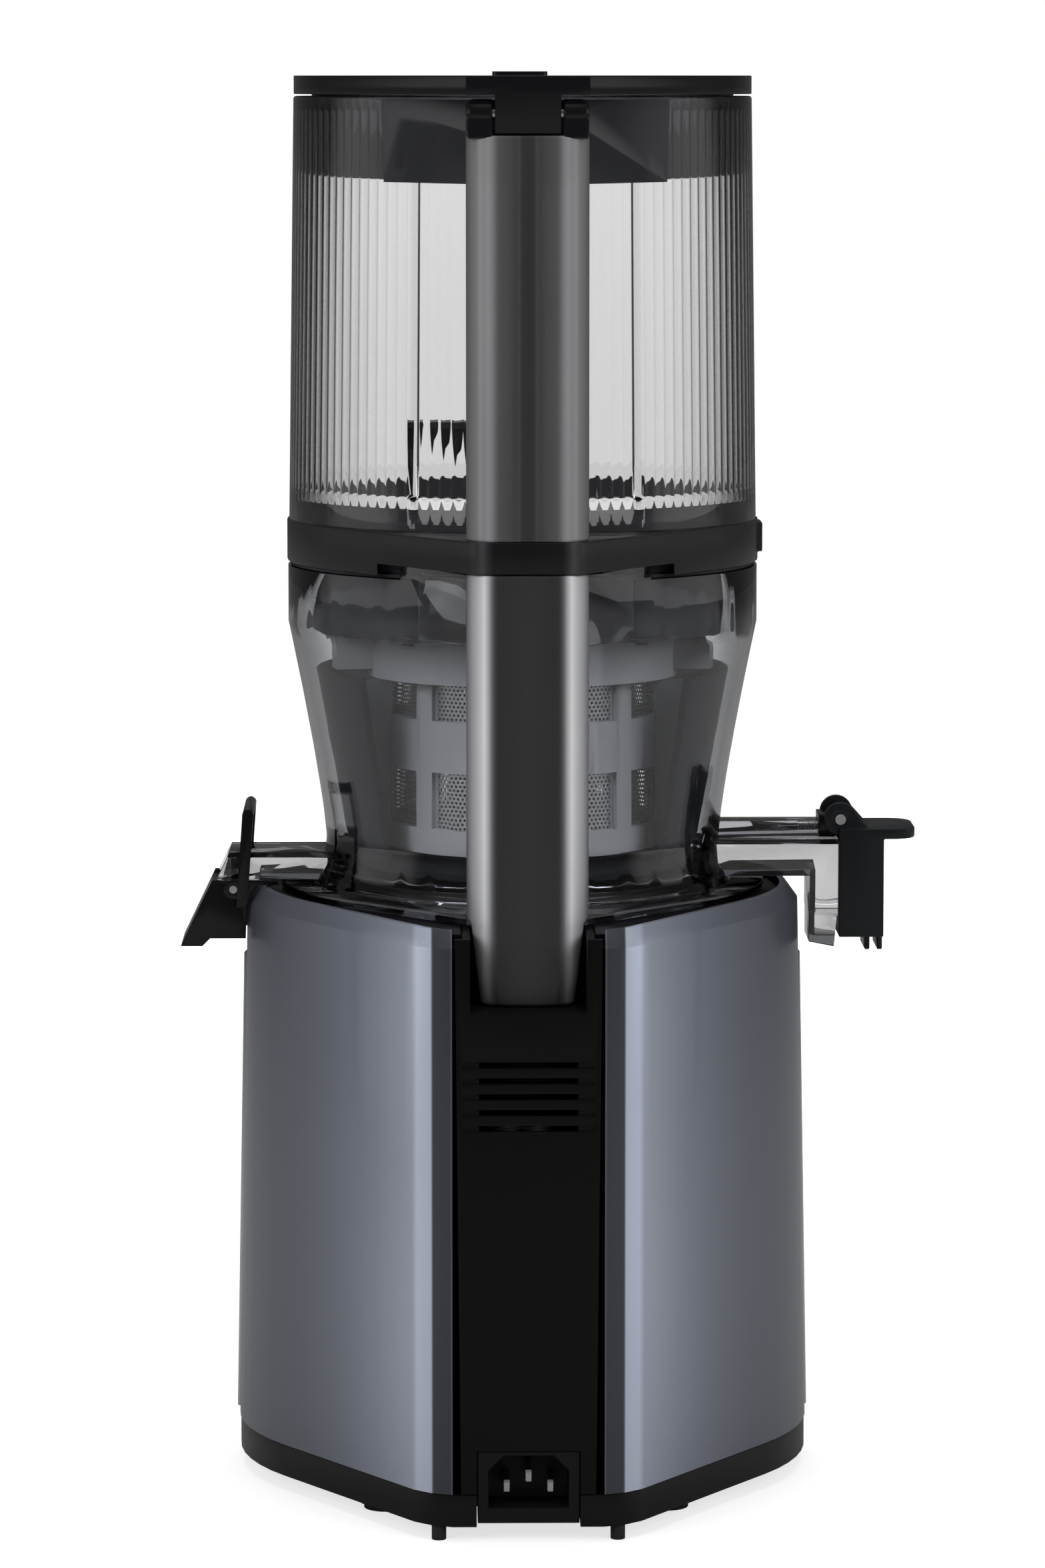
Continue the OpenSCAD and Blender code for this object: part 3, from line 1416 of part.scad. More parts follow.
module strainer_frame() {
  color("#54575e") on_axis() {
    difference() {
      union() {
        tube(strainer_r, strainer_in_r, strainer_z, strain_top_z);
        tube(strainer_ring_r, strainer_in_r, strainer_z + ring_share * strainer_h, strain_top_z);
        tube(strainer_in_r + cut, strainer_floor_r, strainer_z, strainer_z + spout_wall);
      }
      for (w = window_shares, i = [0:window_count - 1]) rotate([0, 0, 360 * (i + 0.5) / window_count])
        along(strainer_r * window_w_share / 2, strainer_in_r - 2 * cut, strainer_r + cut,
          strainer_z + w[0] * strainer_h, strainer_z + w[1] * strainer_h);
    }
    for (turn = tab_turns) rotate([0, 0, turn])
      along(tab_w / 2, strainer_ring_r - cut, strainer_ring_r + tab_reach, strain_top_z - tab_h,
        strain_top_z);
  }
}

module strainer_mesh() {
  color("#c9cbce") on_axis() tube(strainer_in_r, strainer_in_r - mesh_t, strainer_z + spout_wall,
      strainer_z + ring_share * strainer_h);
}

brush_top_z = strain_top_z - tab_h - 2 * seam;
brush_top_r = waist_r + pow((brush_top_z - waist_z) / (ring_z - waist_z), side_power) * chamber_flare
  - chamber_wall - brush_gap;
wiper_top_z = strainer_z + ring_share * strainer_h - 2 * seam;
brush_low_z = brush_gear_z + brush_gear_h / 2;
wiper_t = 1.8;
wiper_gap = 0.4;
wiper_turns = [-20, 20];

function sector(r, span) = concat([[0, 0]], arc(r, -span / 2, span / 2, n = 2));

module brush_frame() {
  color("#3c3e44") on_axis() {
    difference() {
      disc(brush_rim_r, brush_gear_z, brush_seat_z);
      slab(ring_points(), brush_gear_z - cut, brush_seat_z + cut);
    }
    tube(brush_low_r, brush_rim_r - seam, brush_gear_z, brush_low_z);
    difference() {
      cone(brush_low_r, brush_top_r, brush_low_z - cut, brush_top_z);
      cone(brush_low_r - brush_wall, brush_top_r - brush_wall, brush_low_z - 2 * cut, brush_top_z + cut);
      for (side = [90, 270]) rotate([0, 0, side])
        slab(sector(2 * brush_top_r, 180 - brush_arm_span), brush_low_z, brush_top_z + cut);
    }
  }
}

// Hole of the brush's ring gear, with a tooth pointing in at the middle wheel
function ring_points() =
  let (m = brush_module, pitch_r = m * ring_teeth / 2, tip_r = pitch_r + dedendum_share * m,
    root_r = pitch_r - addendum_share * m)
  [for (i = [0:ring_teeth - 1]) let (a = 90 + 360 * (i + 0.5) / ring_teeth)
    for (p = [[root_r, -1], [pitch_r, -1], [tip_r, -1], [tip_r, 1], [pitch_r, 1], [root_r, 1]])
    let (h = tooth_half(ring_teeth, m, p[0], -gear_play))
    [p[0] * cos(a + p[1] * h), p[0] * sin(a + p[1] * h)]];

module brush_wipers() {
  color("#8a8c92") on_axis() for (side = [0, 180], turn = wiper_turns) rotate([0, 0, side + turn])
    difference() {
      rotate([90, 0, 0]) translate([0, 0, -wiper_t / 2]) linear_extrude(wiper_t) polygon([
        [strainer_r + wiper_gap, strainer_z], [brush_low_r - cut, strainer_z],
        [brush_top_r - brush_wall - cut, wiper_top_z], [strainer_r + wiper_gap, wiper_top_z]]);
      difference() {
        disc(2 * brush_top_r, 0, base_h * 2);
        cone(brush_low_r - brush_wall, brush_top_r - brush_wall, brush_low_z, brush_top_z);
      }
    }
}

module brush_pinion() {
  color("#d9d6cc") on_axis() translate([0, middle_centre, 0]) difference() {
    slab(gear_points(middle_teeth, brush_module, gear_play, -90 + 180 / middle_teeth), brush_gear_z,
      brush_seat_z);
    disc(post_r + run_gap, brush_gear_z - cut, brush_seat_z + cut);
  }
}

socket_gap = 0.2;
bushing_r = foot_teeth * brush_module / 2 - dedendum_share * brush_module;
bushing_top_z = hub_top_z + hex_h + 2 * seam;

module auger_bushing() {
  color("#c2c4c8") on_axis() difference() {
    union() {
      slab(gear_points(foot_teeth, brush_module, gear_play, 90), brush_gear_z, brush_seat_z);
      disc(bushing_r, brush_gear_z, bushing_top_z);
    }
    disc(hub_r + 2 * socket_gap, brush_gear_z - cut, hub_top_z + seam);
    translate([0, 0, hub_top_z]) cylinder(r = hex_r + socket_gap, h = hex_h + seam, $fn = 6);
  }
}

core_steps = 40;
core_top_r = 21;
spindle_top_r = 7;
auger_z = strainer_z + seam;
core_z = collar_z - cut;
flight_z = strainer_z + spout_wall + seam;
flight_step_turn = 12;
wing_turns = 0.65;
wing_r_share = 0.76;
wing_tip_share = 0.5;
wing_root_share = 0.7;

// Places along the screw: its turn, height and reach
screw_steps = floor((flight_turns + wing_turns) * 360 / flight_step_turn);
function screw_at(i) =
  let (a = i * flight_step_turn, full = flight_turns * 360, up = min(1, a / full), over = max(0,
    (a - full) / (wing_turns * 360)))
  [a, flight_z + up * (core_z - flight_z) + over * (wing_top_z - core_z - flight_t),
    auger_r * (1 - over * over * (1 - wing_r_share)), auger_core_r / 2 * (1 - over * wing_root_share)];

// One screw flight as a ribbon with a blunt end
module flight() {
  points = [for (i = [0:screw_steps]) let (s = screw_at(i),
    t = i == screw_steps ? flight_t * wing_tip_share : flight_t)
    for (p = [[s[3], 0], [s[2], 0], [s[2], t], [s[3], t]]) [p[0] * cos(s[0]), p[0] * sin(s[0]),
      s[1] + p[1]]];
  sides = [for (i = [0:screw_steps - 1], k = [0:3]) let (a = 4 * i + k, b = 4 * i + (k + 1) % 4)
    each [[a, b, a + 4], [b, b + 4, a + 4]]];
  last = 4 * screw_steps;
  ends = [[0, 2, 1], [0, 3, 2], [last, last + 1, last + 2], [last, last + 2, last + 3]];
  polyhedron(points, concat(sides, ends), convexity = 6);
}

module auger() {
  color("#2a2b2f") on_axis() difference() {
    union() {
      rotate_extrude($fn = core_steps) polygon([[0, auger_z], [auger_core_r, auger_z], [core_top_r,
        core_z], [spindle_top_r + 2 * cut, collar_top_z], [spindle_top_r, wing_top_z - 2 * flight_t], [0,
          wing_top_z - flight_t]]);
      flight();
      rotate([0, 0, 180]) flight();
    }
    translate([0, 0, auger_z - cut]) cylinder(r = bushing_r + socket_gap,
      h = bushing_top_z + seam - auger_z + cut, $fn = core_steps);
  }
}

// Hopper: clear wall on a black collar, with a floor that plugs into the chamber

floor_rim_r = collar_r - cut;
feed_drop = 7;
lug_w = 9;
lug_h = 12;
lug_turns = [0, 180];
tab_turn_x = 7;
tab_t = 1.3;
tab_shares = [0.1, 0.8];
collar_corner_share = 0.35;

module hopper_wall_shell() {
  color("#9a9ca3", 0.4) on_axis() {
    difference() {
      cone(hopper_low_r, hopper_top_r, collar_top_z, hopper_rim_z);
      cone(hopper_in_r, hopper_mouth_r, collar_top_z, hopper_rim_z);
      disc(hopper_in_r, collar_top_z - cut, collar_top_z + cut);
      disc(hopper_mouth_r, hopper_rim_z - cut / 2, hopper_rim_z + cut);
    }
    difference() {
      for (side = [-1, 1]) translate([side * guide_gap, -sqrt(pow(hopper_in_r,
        2) - pow(guide_gap, 2)), 0]) across(guide_t / 2, -guide_t, guide_t, collar_top_z + guide_t * 3,
          hopper_rim_z - skirt_h - guide_t);
      difference() {
        disc(2 * base_r, 0, 2 * hopper_rim_z);
        cone(hopper_low_r - cut, hopper_top_r - cut, collar_top_z, hopper_rim_z);
      }
    }
  }
}

module hopper_floor() {
  color("#3a3b41") on_axis() {
    rotate_extrude() polygon([[plug_r - floor_t, collar_z - plug_h], [plug_r, collar_z - plug_h],
      [plug_r, chamber_top_z + seam], [floor_rim_r, chamber_top_z + seam], [floor_rim_r, collar_z],
        [hopper_in_r, collar_z], [hopper_in_r, collar_top_z], [plug_r - floor_t, collar_top_z], [feed_r,
        collar_top_z - feed_drop],
      [feed_r, collar_top_z - feed_drop - floor_t], [plug_r - floor_t, collar_top_z - 2 * floor_t]]);
    for (turn = lug_turns) rotate([0, 0, turn]) difference() {
      along(lug_w / 2, plug_r - cut, chamber_in_r - 2 * seam, chamber_top_z - lug_h - cut,
        chamber_top_z - cut);
      disc(plug_r - cut / 2, 0, 2 * base_h);
    }
  }
}

module hopper_collar() {
  color("#232325") on_axis() {
    difference() {
      slab(wedge_outline(collar_r, handle_back, handle_half_w - handle_round * collar_corner_share),
        collar_z, collar_top_z);
      disc(hopper_in_r, collar_z - cut, collar_top_z + cut);
      across(bridge_half_w + cut, -base_back, 0, collar_z - cut, bridge_top_z + seam);
    }
    along(tab_turn_x, collar_r - cut, collar_r + tab_t, collar_top_z - collar_h * tab_shares[1],
      collar_top_z - collar_h * tab_shares[0]);
  }
}

handle_top_z = hinge_z - tongue_h + (lid_z - hinge_z) - seam * 2;
tongue_depth = 8.2;
pocket_half_w = tongue_half_w + 2 * seam;
pocket_r = norm([tongue_depth / 2, tongue_h - (lid_z - hinge_z)]) + seam * 2;

module upper_handle() {
  color("#2b2b2f", 0.8) on_axis() difference() {
    union() {
      handle_bar(collar_top_z, handle_top_z);
      slab(handle_section(handle_half_w), handle_top_z - 2 * handle_cap_t, handle_top_z);
      for (side = [0, 1]) mirror([side, 0, 0]) {
        rod_x(knuckle_r, pocket_half_w, handle_half_w, hinge_y, hinge_z);
        block([pocket_half_w, hinge_y - knuckle_r, handle_top_z - cut],
          [handle_half_w, hinge_y + knuckle_r, hinge_z]);
      }
    }
    rod_x(hinge_pin_r, -handle_half_w - cut, handle_half_w + cut, hinge_y, hinge_z);
    rod_x(pocket_r, -pocket_half_w, pocket_half_w, hinge_y, hinge_z);
  }
}

bridge_back = hinge_back - knuckle_r - seam;

module hinge_bridge() {
  color("#232428") on_axis() difference() {
    union() {
      wedge(bridge_half_w, 0, hopper_rim_z - bridge_h, hopper_rim_z - cut);
      across(handle_half_w, -bridge_back, handle_in_y + cut, handle_top_z + seam, hopper_rim_z - cut);
    }
    cone(hopper_low_r, hopper_top_r, collar_top_z, hopper_rim_z);
    rod_x(pocket_r, -pocket_half_w, pocket_half_w, hinge_y, hinge_z);
  }
}

module lid_hinge_pin() {
  color("silver") on_axis() rod_x(hinge_pin_r, -handle_half_w + seam, handle_half_w - seam, hinge_y,
    hinge_z);
}

// Lid with a hinge block behind, a skirt below and a button in front

module lid_cover() {
  color("#1d1d20") on_axis() difference() {
    union() {
      slab(wedge_outline(hopper_top_r, hinge_back + tongue_depth / 2, handle_half_w), lid_z,
        lid_z + lid_t);
      across(tongue_half_w, hinge_y - tongue_depth / 2, hinge_y + tongue_depth / 2, lid_z - tongue_h,
        lid_z + cut);
    }
    rod_x(hinge_pin_r + run_gap, -tongue_half_w - cut, tongue_half_w + cut, hinge_y, hinge_z);
    across(button_half_w + seam, button_y - button_len / 2 - seam, button_y + button_len / 2 + seam,
      lid_z - cut, lid_z + lid_t + cut);
  }
}

module lid_skirt() {
  color("#303137") on_axis() tube(skirt_r, skirt_r - skirt_wall, lid_z - skirt_h, lid_z);
}

button_flange = 1.5;
button_y = hopper_top_r - button_inset;
button_round = 3;

module lid_button() {
  color("#141416") on_axis() {
    slab(round_box(button_half_w, button_len / 2, button_round, [0, button_y]),
      lid_z - seam - button_flange, lid_z + lid_t + button_rise);
    across(button_half_w + button_flange, button_y - button_len / 2,
      button_y + button_len / 2 - button_round, lid_z - seam - button_flange, lid_z - seam);
  }
}

base_tray();
rubber_feet();
rear_nubs();
tray_screws();
inner_housing();
left_panel();
right_panel();
front_cover();
front_crown();
spine_cover();
top_deck();
power_inlet();
inlet_pins();
motor_casing();
motor_stator();
motor_rotor();
motor_shaft();
cooling_fan();
gearbox_case();
gearbox_cover();
idler_axle();
idler_gear();
output_gear();
drive_shaft();
shaft_bearings();
shaft_seal();
control_board();
rotary_switch();
dial_ring();
control_knob();
juice_chamber();
juice_spout();
pulp_spout();
lower_handle();
chamber_seal();
pulp_chute();
pulp_lever();
pulp_gate();
lever_shaft();
juice_cap();
cap_seal();
cap_bracket();
cap_hinge_pin();
bracket_screw();
strainer_frame();
strainer_mesh();
brush_frame();
brush_wipers();
brush_pinion();
auger();
auger_bushing();
hopper_wall_shell();
hopper_floor();
hopper_collar();
upper_handle();
hinge_bridge();
lid_hinge_pin();
lid_cover();
lid_skirt();
lid_button();
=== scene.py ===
"""Looks of an upright cold press juicer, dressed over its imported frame.

Lengths are in metres, or in millimetres where a field's name ends in _mm. Every piece is modelled
in the frame of the solids and rides on the body that carries it. SMOOTH and SOLID_SMOOTH are angles
in degrees: flatter edges of the pieces and of the solids are shaded smooth.
"""

import json
import logging
import math
from dataclasses import dataclass, field, replace
from enum import Enum
from typing import Iterable, Optional

import bmesh
import bpy
from mathutils import Matrix, Vector

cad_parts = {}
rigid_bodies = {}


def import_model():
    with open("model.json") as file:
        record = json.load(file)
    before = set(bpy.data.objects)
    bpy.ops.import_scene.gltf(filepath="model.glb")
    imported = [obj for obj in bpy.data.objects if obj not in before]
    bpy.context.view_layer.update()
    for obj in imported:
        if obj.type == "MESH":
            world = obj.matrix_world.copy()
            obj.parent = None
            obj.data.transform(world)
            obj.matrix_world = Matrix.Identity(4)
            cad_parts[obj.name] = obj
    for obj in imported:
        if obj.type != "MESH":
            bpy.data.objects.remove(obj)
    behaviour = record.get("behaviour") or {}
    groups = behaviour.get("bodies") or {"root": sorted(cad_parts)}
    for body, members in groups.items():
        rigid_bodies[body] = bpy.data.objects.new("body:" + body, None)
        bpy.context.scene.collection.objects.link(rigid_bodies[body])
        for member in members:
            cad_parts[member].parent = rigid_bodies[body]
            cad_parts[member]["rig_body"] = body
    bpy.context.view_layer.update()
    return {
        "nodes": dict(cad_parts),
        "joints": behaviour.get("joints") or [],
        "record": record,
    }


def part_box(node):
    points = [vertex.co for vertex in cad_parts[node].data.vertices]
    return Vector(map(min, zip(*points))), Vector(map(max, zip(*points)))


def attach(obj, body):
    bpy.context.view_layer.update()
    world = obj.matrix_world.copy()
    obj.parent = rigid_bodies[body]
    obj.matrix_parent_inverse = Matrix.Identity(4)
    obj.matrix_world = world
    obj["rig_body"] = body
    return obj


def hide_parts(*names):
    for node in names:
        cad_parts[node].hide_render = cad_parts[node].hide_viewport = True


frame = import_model()
LOG = logging.getLogger("juicer")
MM = 0.001
WHITE = (1.0, 1.0, 1.0, 1.0)
SMOOTH = 32.0
SOLID_SMOOTH = 30.0


class Ease(Enum):
    """How a value goes from one end of a range to the other."""

    LINEAR = "LINEAR"
    SOFT = "SMOOTHSTEP"


class Along(Enum):
    """Axis that a turned piece is spun about."""

    X = (1.0, 0.0, 0.0)
    Y = (0.0, 1.0, 0.0)
    Z = (0.0, 0.0, 1.0)


class Mix(Enum):
    """What a Mix node mixes, with the numbers of its two inputs and of its output."""

    FLOAT = (2, 3, 0)
    RGBA = (6, 7, 2)


class Rim(Enum):
    """How strongly the edges of a moulding are rounded."""

    CRISP = 0.25
    EASED = 0.5
    SOFT = 0.9
    FULL = 1.4


def joint_place(name: str) -> Vector:
    """Place of a joint in the frame.

    Args:
        name: The joint's name in the record.

    Returns:
        The joint's position in metres.
    """
    for joint in frame["joints"]:
        if joint["name"] == name:
            return Vector(joint["pos_m"])
    raise KeyError(name)


AXIS = joint_place("auger_spin").to_2d()


def at(x: float, y: float, z: float) -> Vector:
    """A point given in millimetres from the drive axis and the worktop, in metres in the frame."""
    return Vector((AXIS.x + x * MM, AXIS.y + y * MM, z * MM))


def reach(node: str) -> tuple[Vector, Vector]:
    """Lowest and highest corner of a solid, in millimetres from the drive axis and the worktop.

    Args:
        node: The solid's name.

    Returns:
        The two corners.
    """
    start = Vector((AXIS.x, AXIS.y, 0.0))
    low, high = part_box(node)
    return (low - start) / MM, (high - start) / MM


def arc(radius: float, start: float, end: float, middle: tuple = (0.0, 0.0), steps: int = 8) -> list[tuple]:
    """Points along an arc.

    Args:
        radius: The arc's radius.
        start: Its first angle in degrees.
        end: Its last angle in degrees.
        middle: Its centre.
        steps: Number of steps.

    Returns:
        The points as pairs.
    """
    turns = [math.radians(start + (end - start) * i / steps) for i in range(steps + 1)]
    return [(middle[0] + radius * math.cos(t), middle[1] + radius * math.sin(t)) for t in turns]


@dataclass
class Tree:
    """A node tree that is wired in short calls."""

    tree: bpy.types.NodeTree

    @classmethod
    def emptied(cls, owner: object) -> "Tree":
        """Empties the node tree of a material or a world.

        Args:
            owner: The material or world.

        Returns:
            Its tree.
        """
        owner.use_nodes = True
        owner.node_tree.nodes.clear()
        return cls(owner.node_tree)

    def add(self, kind: str, values: Optional[dict] = None, **settings: object) -> bpy.types.Node:
        """Adds a node.

        Args:
            kind: The node's type name.
            values: What each named input is fed.
            settings: Properties set on the node.

        Returns:
            The new node.
        """
        node = self.tree.nodes.new(kind)
        for name, value in settings.items():
            setattr(node, name, value)
        for label, value in (values or {}).items():
            self.feed(value, node.inputs[label])
        return node

    def wire(self, source: bpy.types.NodeSocket, target: bpy.types.NodeSocket) -> None:
        """Joins two sockets."""
        self.tree.links.new(source, target)

    def feed(self, value: object, slot: bpy.types.NodeSocket) -> None:
        """Gives a slot its value.

        Args:
            value: A socket to join to the slot, or the value to set it to.
            slot: The slot.
        """
        if isinstance(value, bpy.types.NodeSocket):
            self.wire(value, slot)
        else:
            slot.default_value = value

    def maths(self, operation: str, first: object, second: object = 0.0) -> bpy.types.NodeSocket:
        """Adds a Math node.

        Args:
            operation: The Math node's operation.
            first: A socket or a number.
            second: A socket or a number.

        Returns:
            The node's output socket.
        """
        node = self.add("ShaderNodeMath", operation=operation)
        self.feed(first, node.inputs[0])
        self.feed(second, node.inputs[1])
        return node.outputs[0]

    def remap(self, value: bpy.types.NodeSocket, ends: tuple,
              ease: Ease = Ease.LINEAR) -> bpy.types.NodeSocket:
        """Maps a value from one range onto another, held at both ends.

        Args:
            value: The socket to map.
            ends: Where the range starts and ends, and what its start and its end become.
            ease: How the value goes from one end to the other.

        Returns:
            The mapped value's socket.
        """
        given = dict(zip(("From Min", "From Max", "To Min", "To Max"), ends))
        node = self.add("ShaderNodeMapRange", {"Value": value, **given}, interpolation_type=ease.value)
        return node.outputs["Result"]

    def mix(self, kind: Mix, share: object, first: object, second: object,
            blend: str = "MIX") -> bpy.types.NodeSocket:
        """Mixes two numbers or two colours, each given as a socket or as a value.

        Args:
            kind: What is mixed.
            share: Share of the second.
            first: What is left where the share is zero.
            second: What comes in its place.
            blend: How they're blended.

        Returns:
            The mixture's socket.
        """
        one, two, out = kind.value
        node = self.add("ShaderNodeMix", data_type=kind.name, blend_type=blend)
        for value, number in ((share, 0), (first, one), (second, two)):
            self.feed(value, node.inputs[number])
        return node.outputs[out]

    def times(self, colour: bpy.types.NodeSocket, factor: bpy.types.NodeSocket) -> bpy.types.NodeSocket:
        """Multiplies a colour by a factor.

        Args:
            colour: The colour's socket.
            factor: The factor's socket.

        Returns:
            The product's socket.
        """
        return self.mix(Mix.RGBA, 1.0, colour, factor, "MULTIPLY")

    def parts(self, label: str) -> tuple:
        """Splits a texture coordinate along the three axes.

        Args:
            label: The coordinate's name.

        Returns:
            The sockets of x, y and z.
        """
        place = self.add("ShaderNodeTexCoord").outputs[label]
        return tuple(self.add("ShaderNodeSeparateXYZ", {"Vector": place}).outputs)

    def noise(self, scale: float, detail: float, stretch: tuple) -> bpy.types.NodeSocket:
        """Adds noise on Object coordinates.

        Args:
            scale: Scale of the noise per metre.
            detail: Octaves of the noise.
            stretch: Factors along the three axes.

        Returns:
            The noise value's socket.
        """
        place = self.add("ShaderNodeTexCoord").outputs["Object"]
        drawn = self.add("ShaderNodeMapping", {"Vector": place, "Scale": stretch}).outputs["Vector"]
        node = self.add("ShaderNodeTexNoise", {"Vector": drawn, "Scale": scale, "Detail": detail})
        return node.outputs["Fac"]

    def bump(self, height: bpy.types.NodeSocket, strength: float, deep: float,
             shader: bpy.types.Node) -> None:
        """Raises a shader's surface.

        Args:
            height: The height's socket.
            strength: Strength of the relief.
            deep: Depth of the relief in metres.
            shader: The surface shader.
        """
        node = self.add("ShaderNodeBump", {"Strength": strength, "Distance": deep, "Height": height})
        self.wire(node.outputs["Normal"], shader.inputs["Normal"])


@dataclass
class MouldedGrain:
    """Node group for the fine grain of a surface, with the broad marks that handling leaves.

    Attributes:
        label: Name of the group.
        grain_detail: Octaves of the grain.
        mark_detail: Octaves of the marks.
        mark_bend: How much the marks are distorted.
        mark_share: Share of the marks in the tone.
        grain_share: Share of the grain in the tone.
        low: Tone at which the surface is smoothest.
        high: Tone at which it is roughest.
    """

    label: str = "moulded grain"
    grain_detail: float = 2.0
    mark_detail: float = 5.0
    mark_bend: float = 0.6
    mark_share: float = 0.7
    grain_share: float = 0.3
    low: float = 0.3
    high: float = 0.7

    def group(self) -> bpy.types.NodeTree:
        """The group, made at its first use.

        Returns:
            A group that puts out a grain height, a roughness and a tone from 0 to 1.
        """
        return bpy.data.node_groups.get(self.label) or self.build()

    def build(self) -> bpy.types.NodeTree:
        """Builds the group.

        Returns:
            The new group.
        """
        group = bpy.data.node_groups.new(self.label, "ShaderNodeTree")
        for label in ("Grain Scale", "Smooth", "Rough", "Mark Scale"):
            group.interface.new_socket(label, in_out="INPUT", socket_type="NodeSocketFloat")
        for label in ("Height", "Roughness", "Tone"):
            group.interface.new_socket(label, in_out="OUTPUT", socket_type="NodeSocketFloat")
        tree = Tree(group)
        given = tree.add("NodeGroupInput").outputs
        place = tree.add("ShaderNodeTexCoord").outputs["Object"]
        grain = tree.add("ShaderNodeTexNoise", {
            "Vector": place, "Scale": given["Grain Scale"], "Detail": self.grain_detail,
        }).outputs["Fac"]
        marks = tree.add("ShaderNodeTexNoise", {
            "Vector": place, "Scale": given["Mark Scale"], "Detail": self.mark_detail,
            "Distortion": self.mark_bend,
        }).outputs["Fac"]
        tone = tree.maths("ADD", tree.maths("MULTIPLY", marks, self.mark_share),
                          tree.maths("MULTIPLY", grain, self.grain_share))
        rough = tree.remap(tone, (self.low, self.high, given["Smooth"], given["Rough"]))
        tree.add("NodeGroupOutput", {"Height": grain, "Roughness": rough, "Tone": tone})
        return group


@dataclass(frozen=True)
class Finish:
    """A moulded, painted or metal surface with grain, soft marks and a tone that varies, and with painted
    highlights and painted shade where bands are given.

    Attributes:
        name: Name of the material.
        dark: Colour where the tone is low.
        light: Colour where the tone is high.
        smooth: Lowest roughness.
        rough: Highest roughness.
        metallic: Share of metal.
        coat: Weight of the clear coat.
        grain: Scale of the grain per metre.
        relief: Strength of the grain's bump.
        deep: Depth of the grain's bump in metres.
        marks: Scale of the broad marks per metre.
        specular: Strength of the reflection of a plastic.
        bands: Painted highlights and painted shade, as lightness by the distance from the middle plane, in
            pairs of millimetres and factor.
    """

    name: str
    dark: tuple
    light: tuple
    smooth: float = 0.25
    rough: float = 0.4
    metallic: float = 0.0
    coat: float = 0.0
    grain: float = 2600.0
    relief: float = 0.06
    deep: float = 0.0002
    marks: float = 14.0
    specular: float = 0.5
    bands: tuple = ()

    def start(self) -> tuple[bpy.types.Material, Tree, bpy.types.Node]:
        """Starts the material with its grain, roughness and tone.

        Returns:
            The material, its tree and its surface shader.
        """
        material = bpy.data.materials.new(self.name)
        tree = Tree.emptied(material)
        grain = tree.add("ShaderNodeGroup", {
            "Grain Scale": self.grain, "Smooth": self.smooth, "Rough": self.rough, "Mark Scale": self.marks,
        }, node_tree=MouldedGrain().group()).outputs
        tone = tree.mix(Mix.RGBA, grain["Tone"], (*self.dark, 1.0), (*self.light, 1.0))
        shader = tree.add("ShaderNodeBsdfPrincipled", {
            "Base Color": self.banded(tree, tone), "Roughness": grain["Roughness"],
            "Metallic": self.metallic, "Coat Weight": self.coat, "Specular IOR Level": self.specular,
        })
        tree.bump(grain["Height"], self.relief, self.deep, shader)
        tree.add("ShaderNodeOutputMaterial", {"Surface": shader.outputs["BSDF"]})
        return material, tree, shader

    def banded(self, tree: Tree, colour: bpy.types.NodeSocket) -> bpy.types.NodeSocket:
        """Paints highlights and shade into the tone across the middle plane.

        Args:
            tree: The material's tree.
            colour: The tone's socket.

        Returns:
            The socket of the colour with its bands.
        """
        if not self.bands:
            return colour
        across = tree.maths("ABSOLUTE", tree.maths("SUBTRACT", tree.parts("Object")[0], AXIS.x))
        widest = self.bands[-1][0]
        ramp = tree.add("ShaderNodeValToRGB")
        tree.wire(tree.maths("DIVIDE", across, widest * MM), ramp.inputs["Fac"])
        stops = ramp.color_ramp.elements
        for stop, (mm, factor) in zip([stops[0], stops[-1]], (self.bands[0], self.bands[-1])):
            stop.position, stop.color = mm / widest, (factor, factor, factor, 1.0)
        for mm, factor in self.bands[1:-1]:
            stops.new(mm / widest).color = (factor, factor, factor, 1.0)
        return tree.times(colour, ramp.outputs["Color"])

    def material(self) -> bpy.types.Material:
        """Makes the material."""
        return self.start()[0]


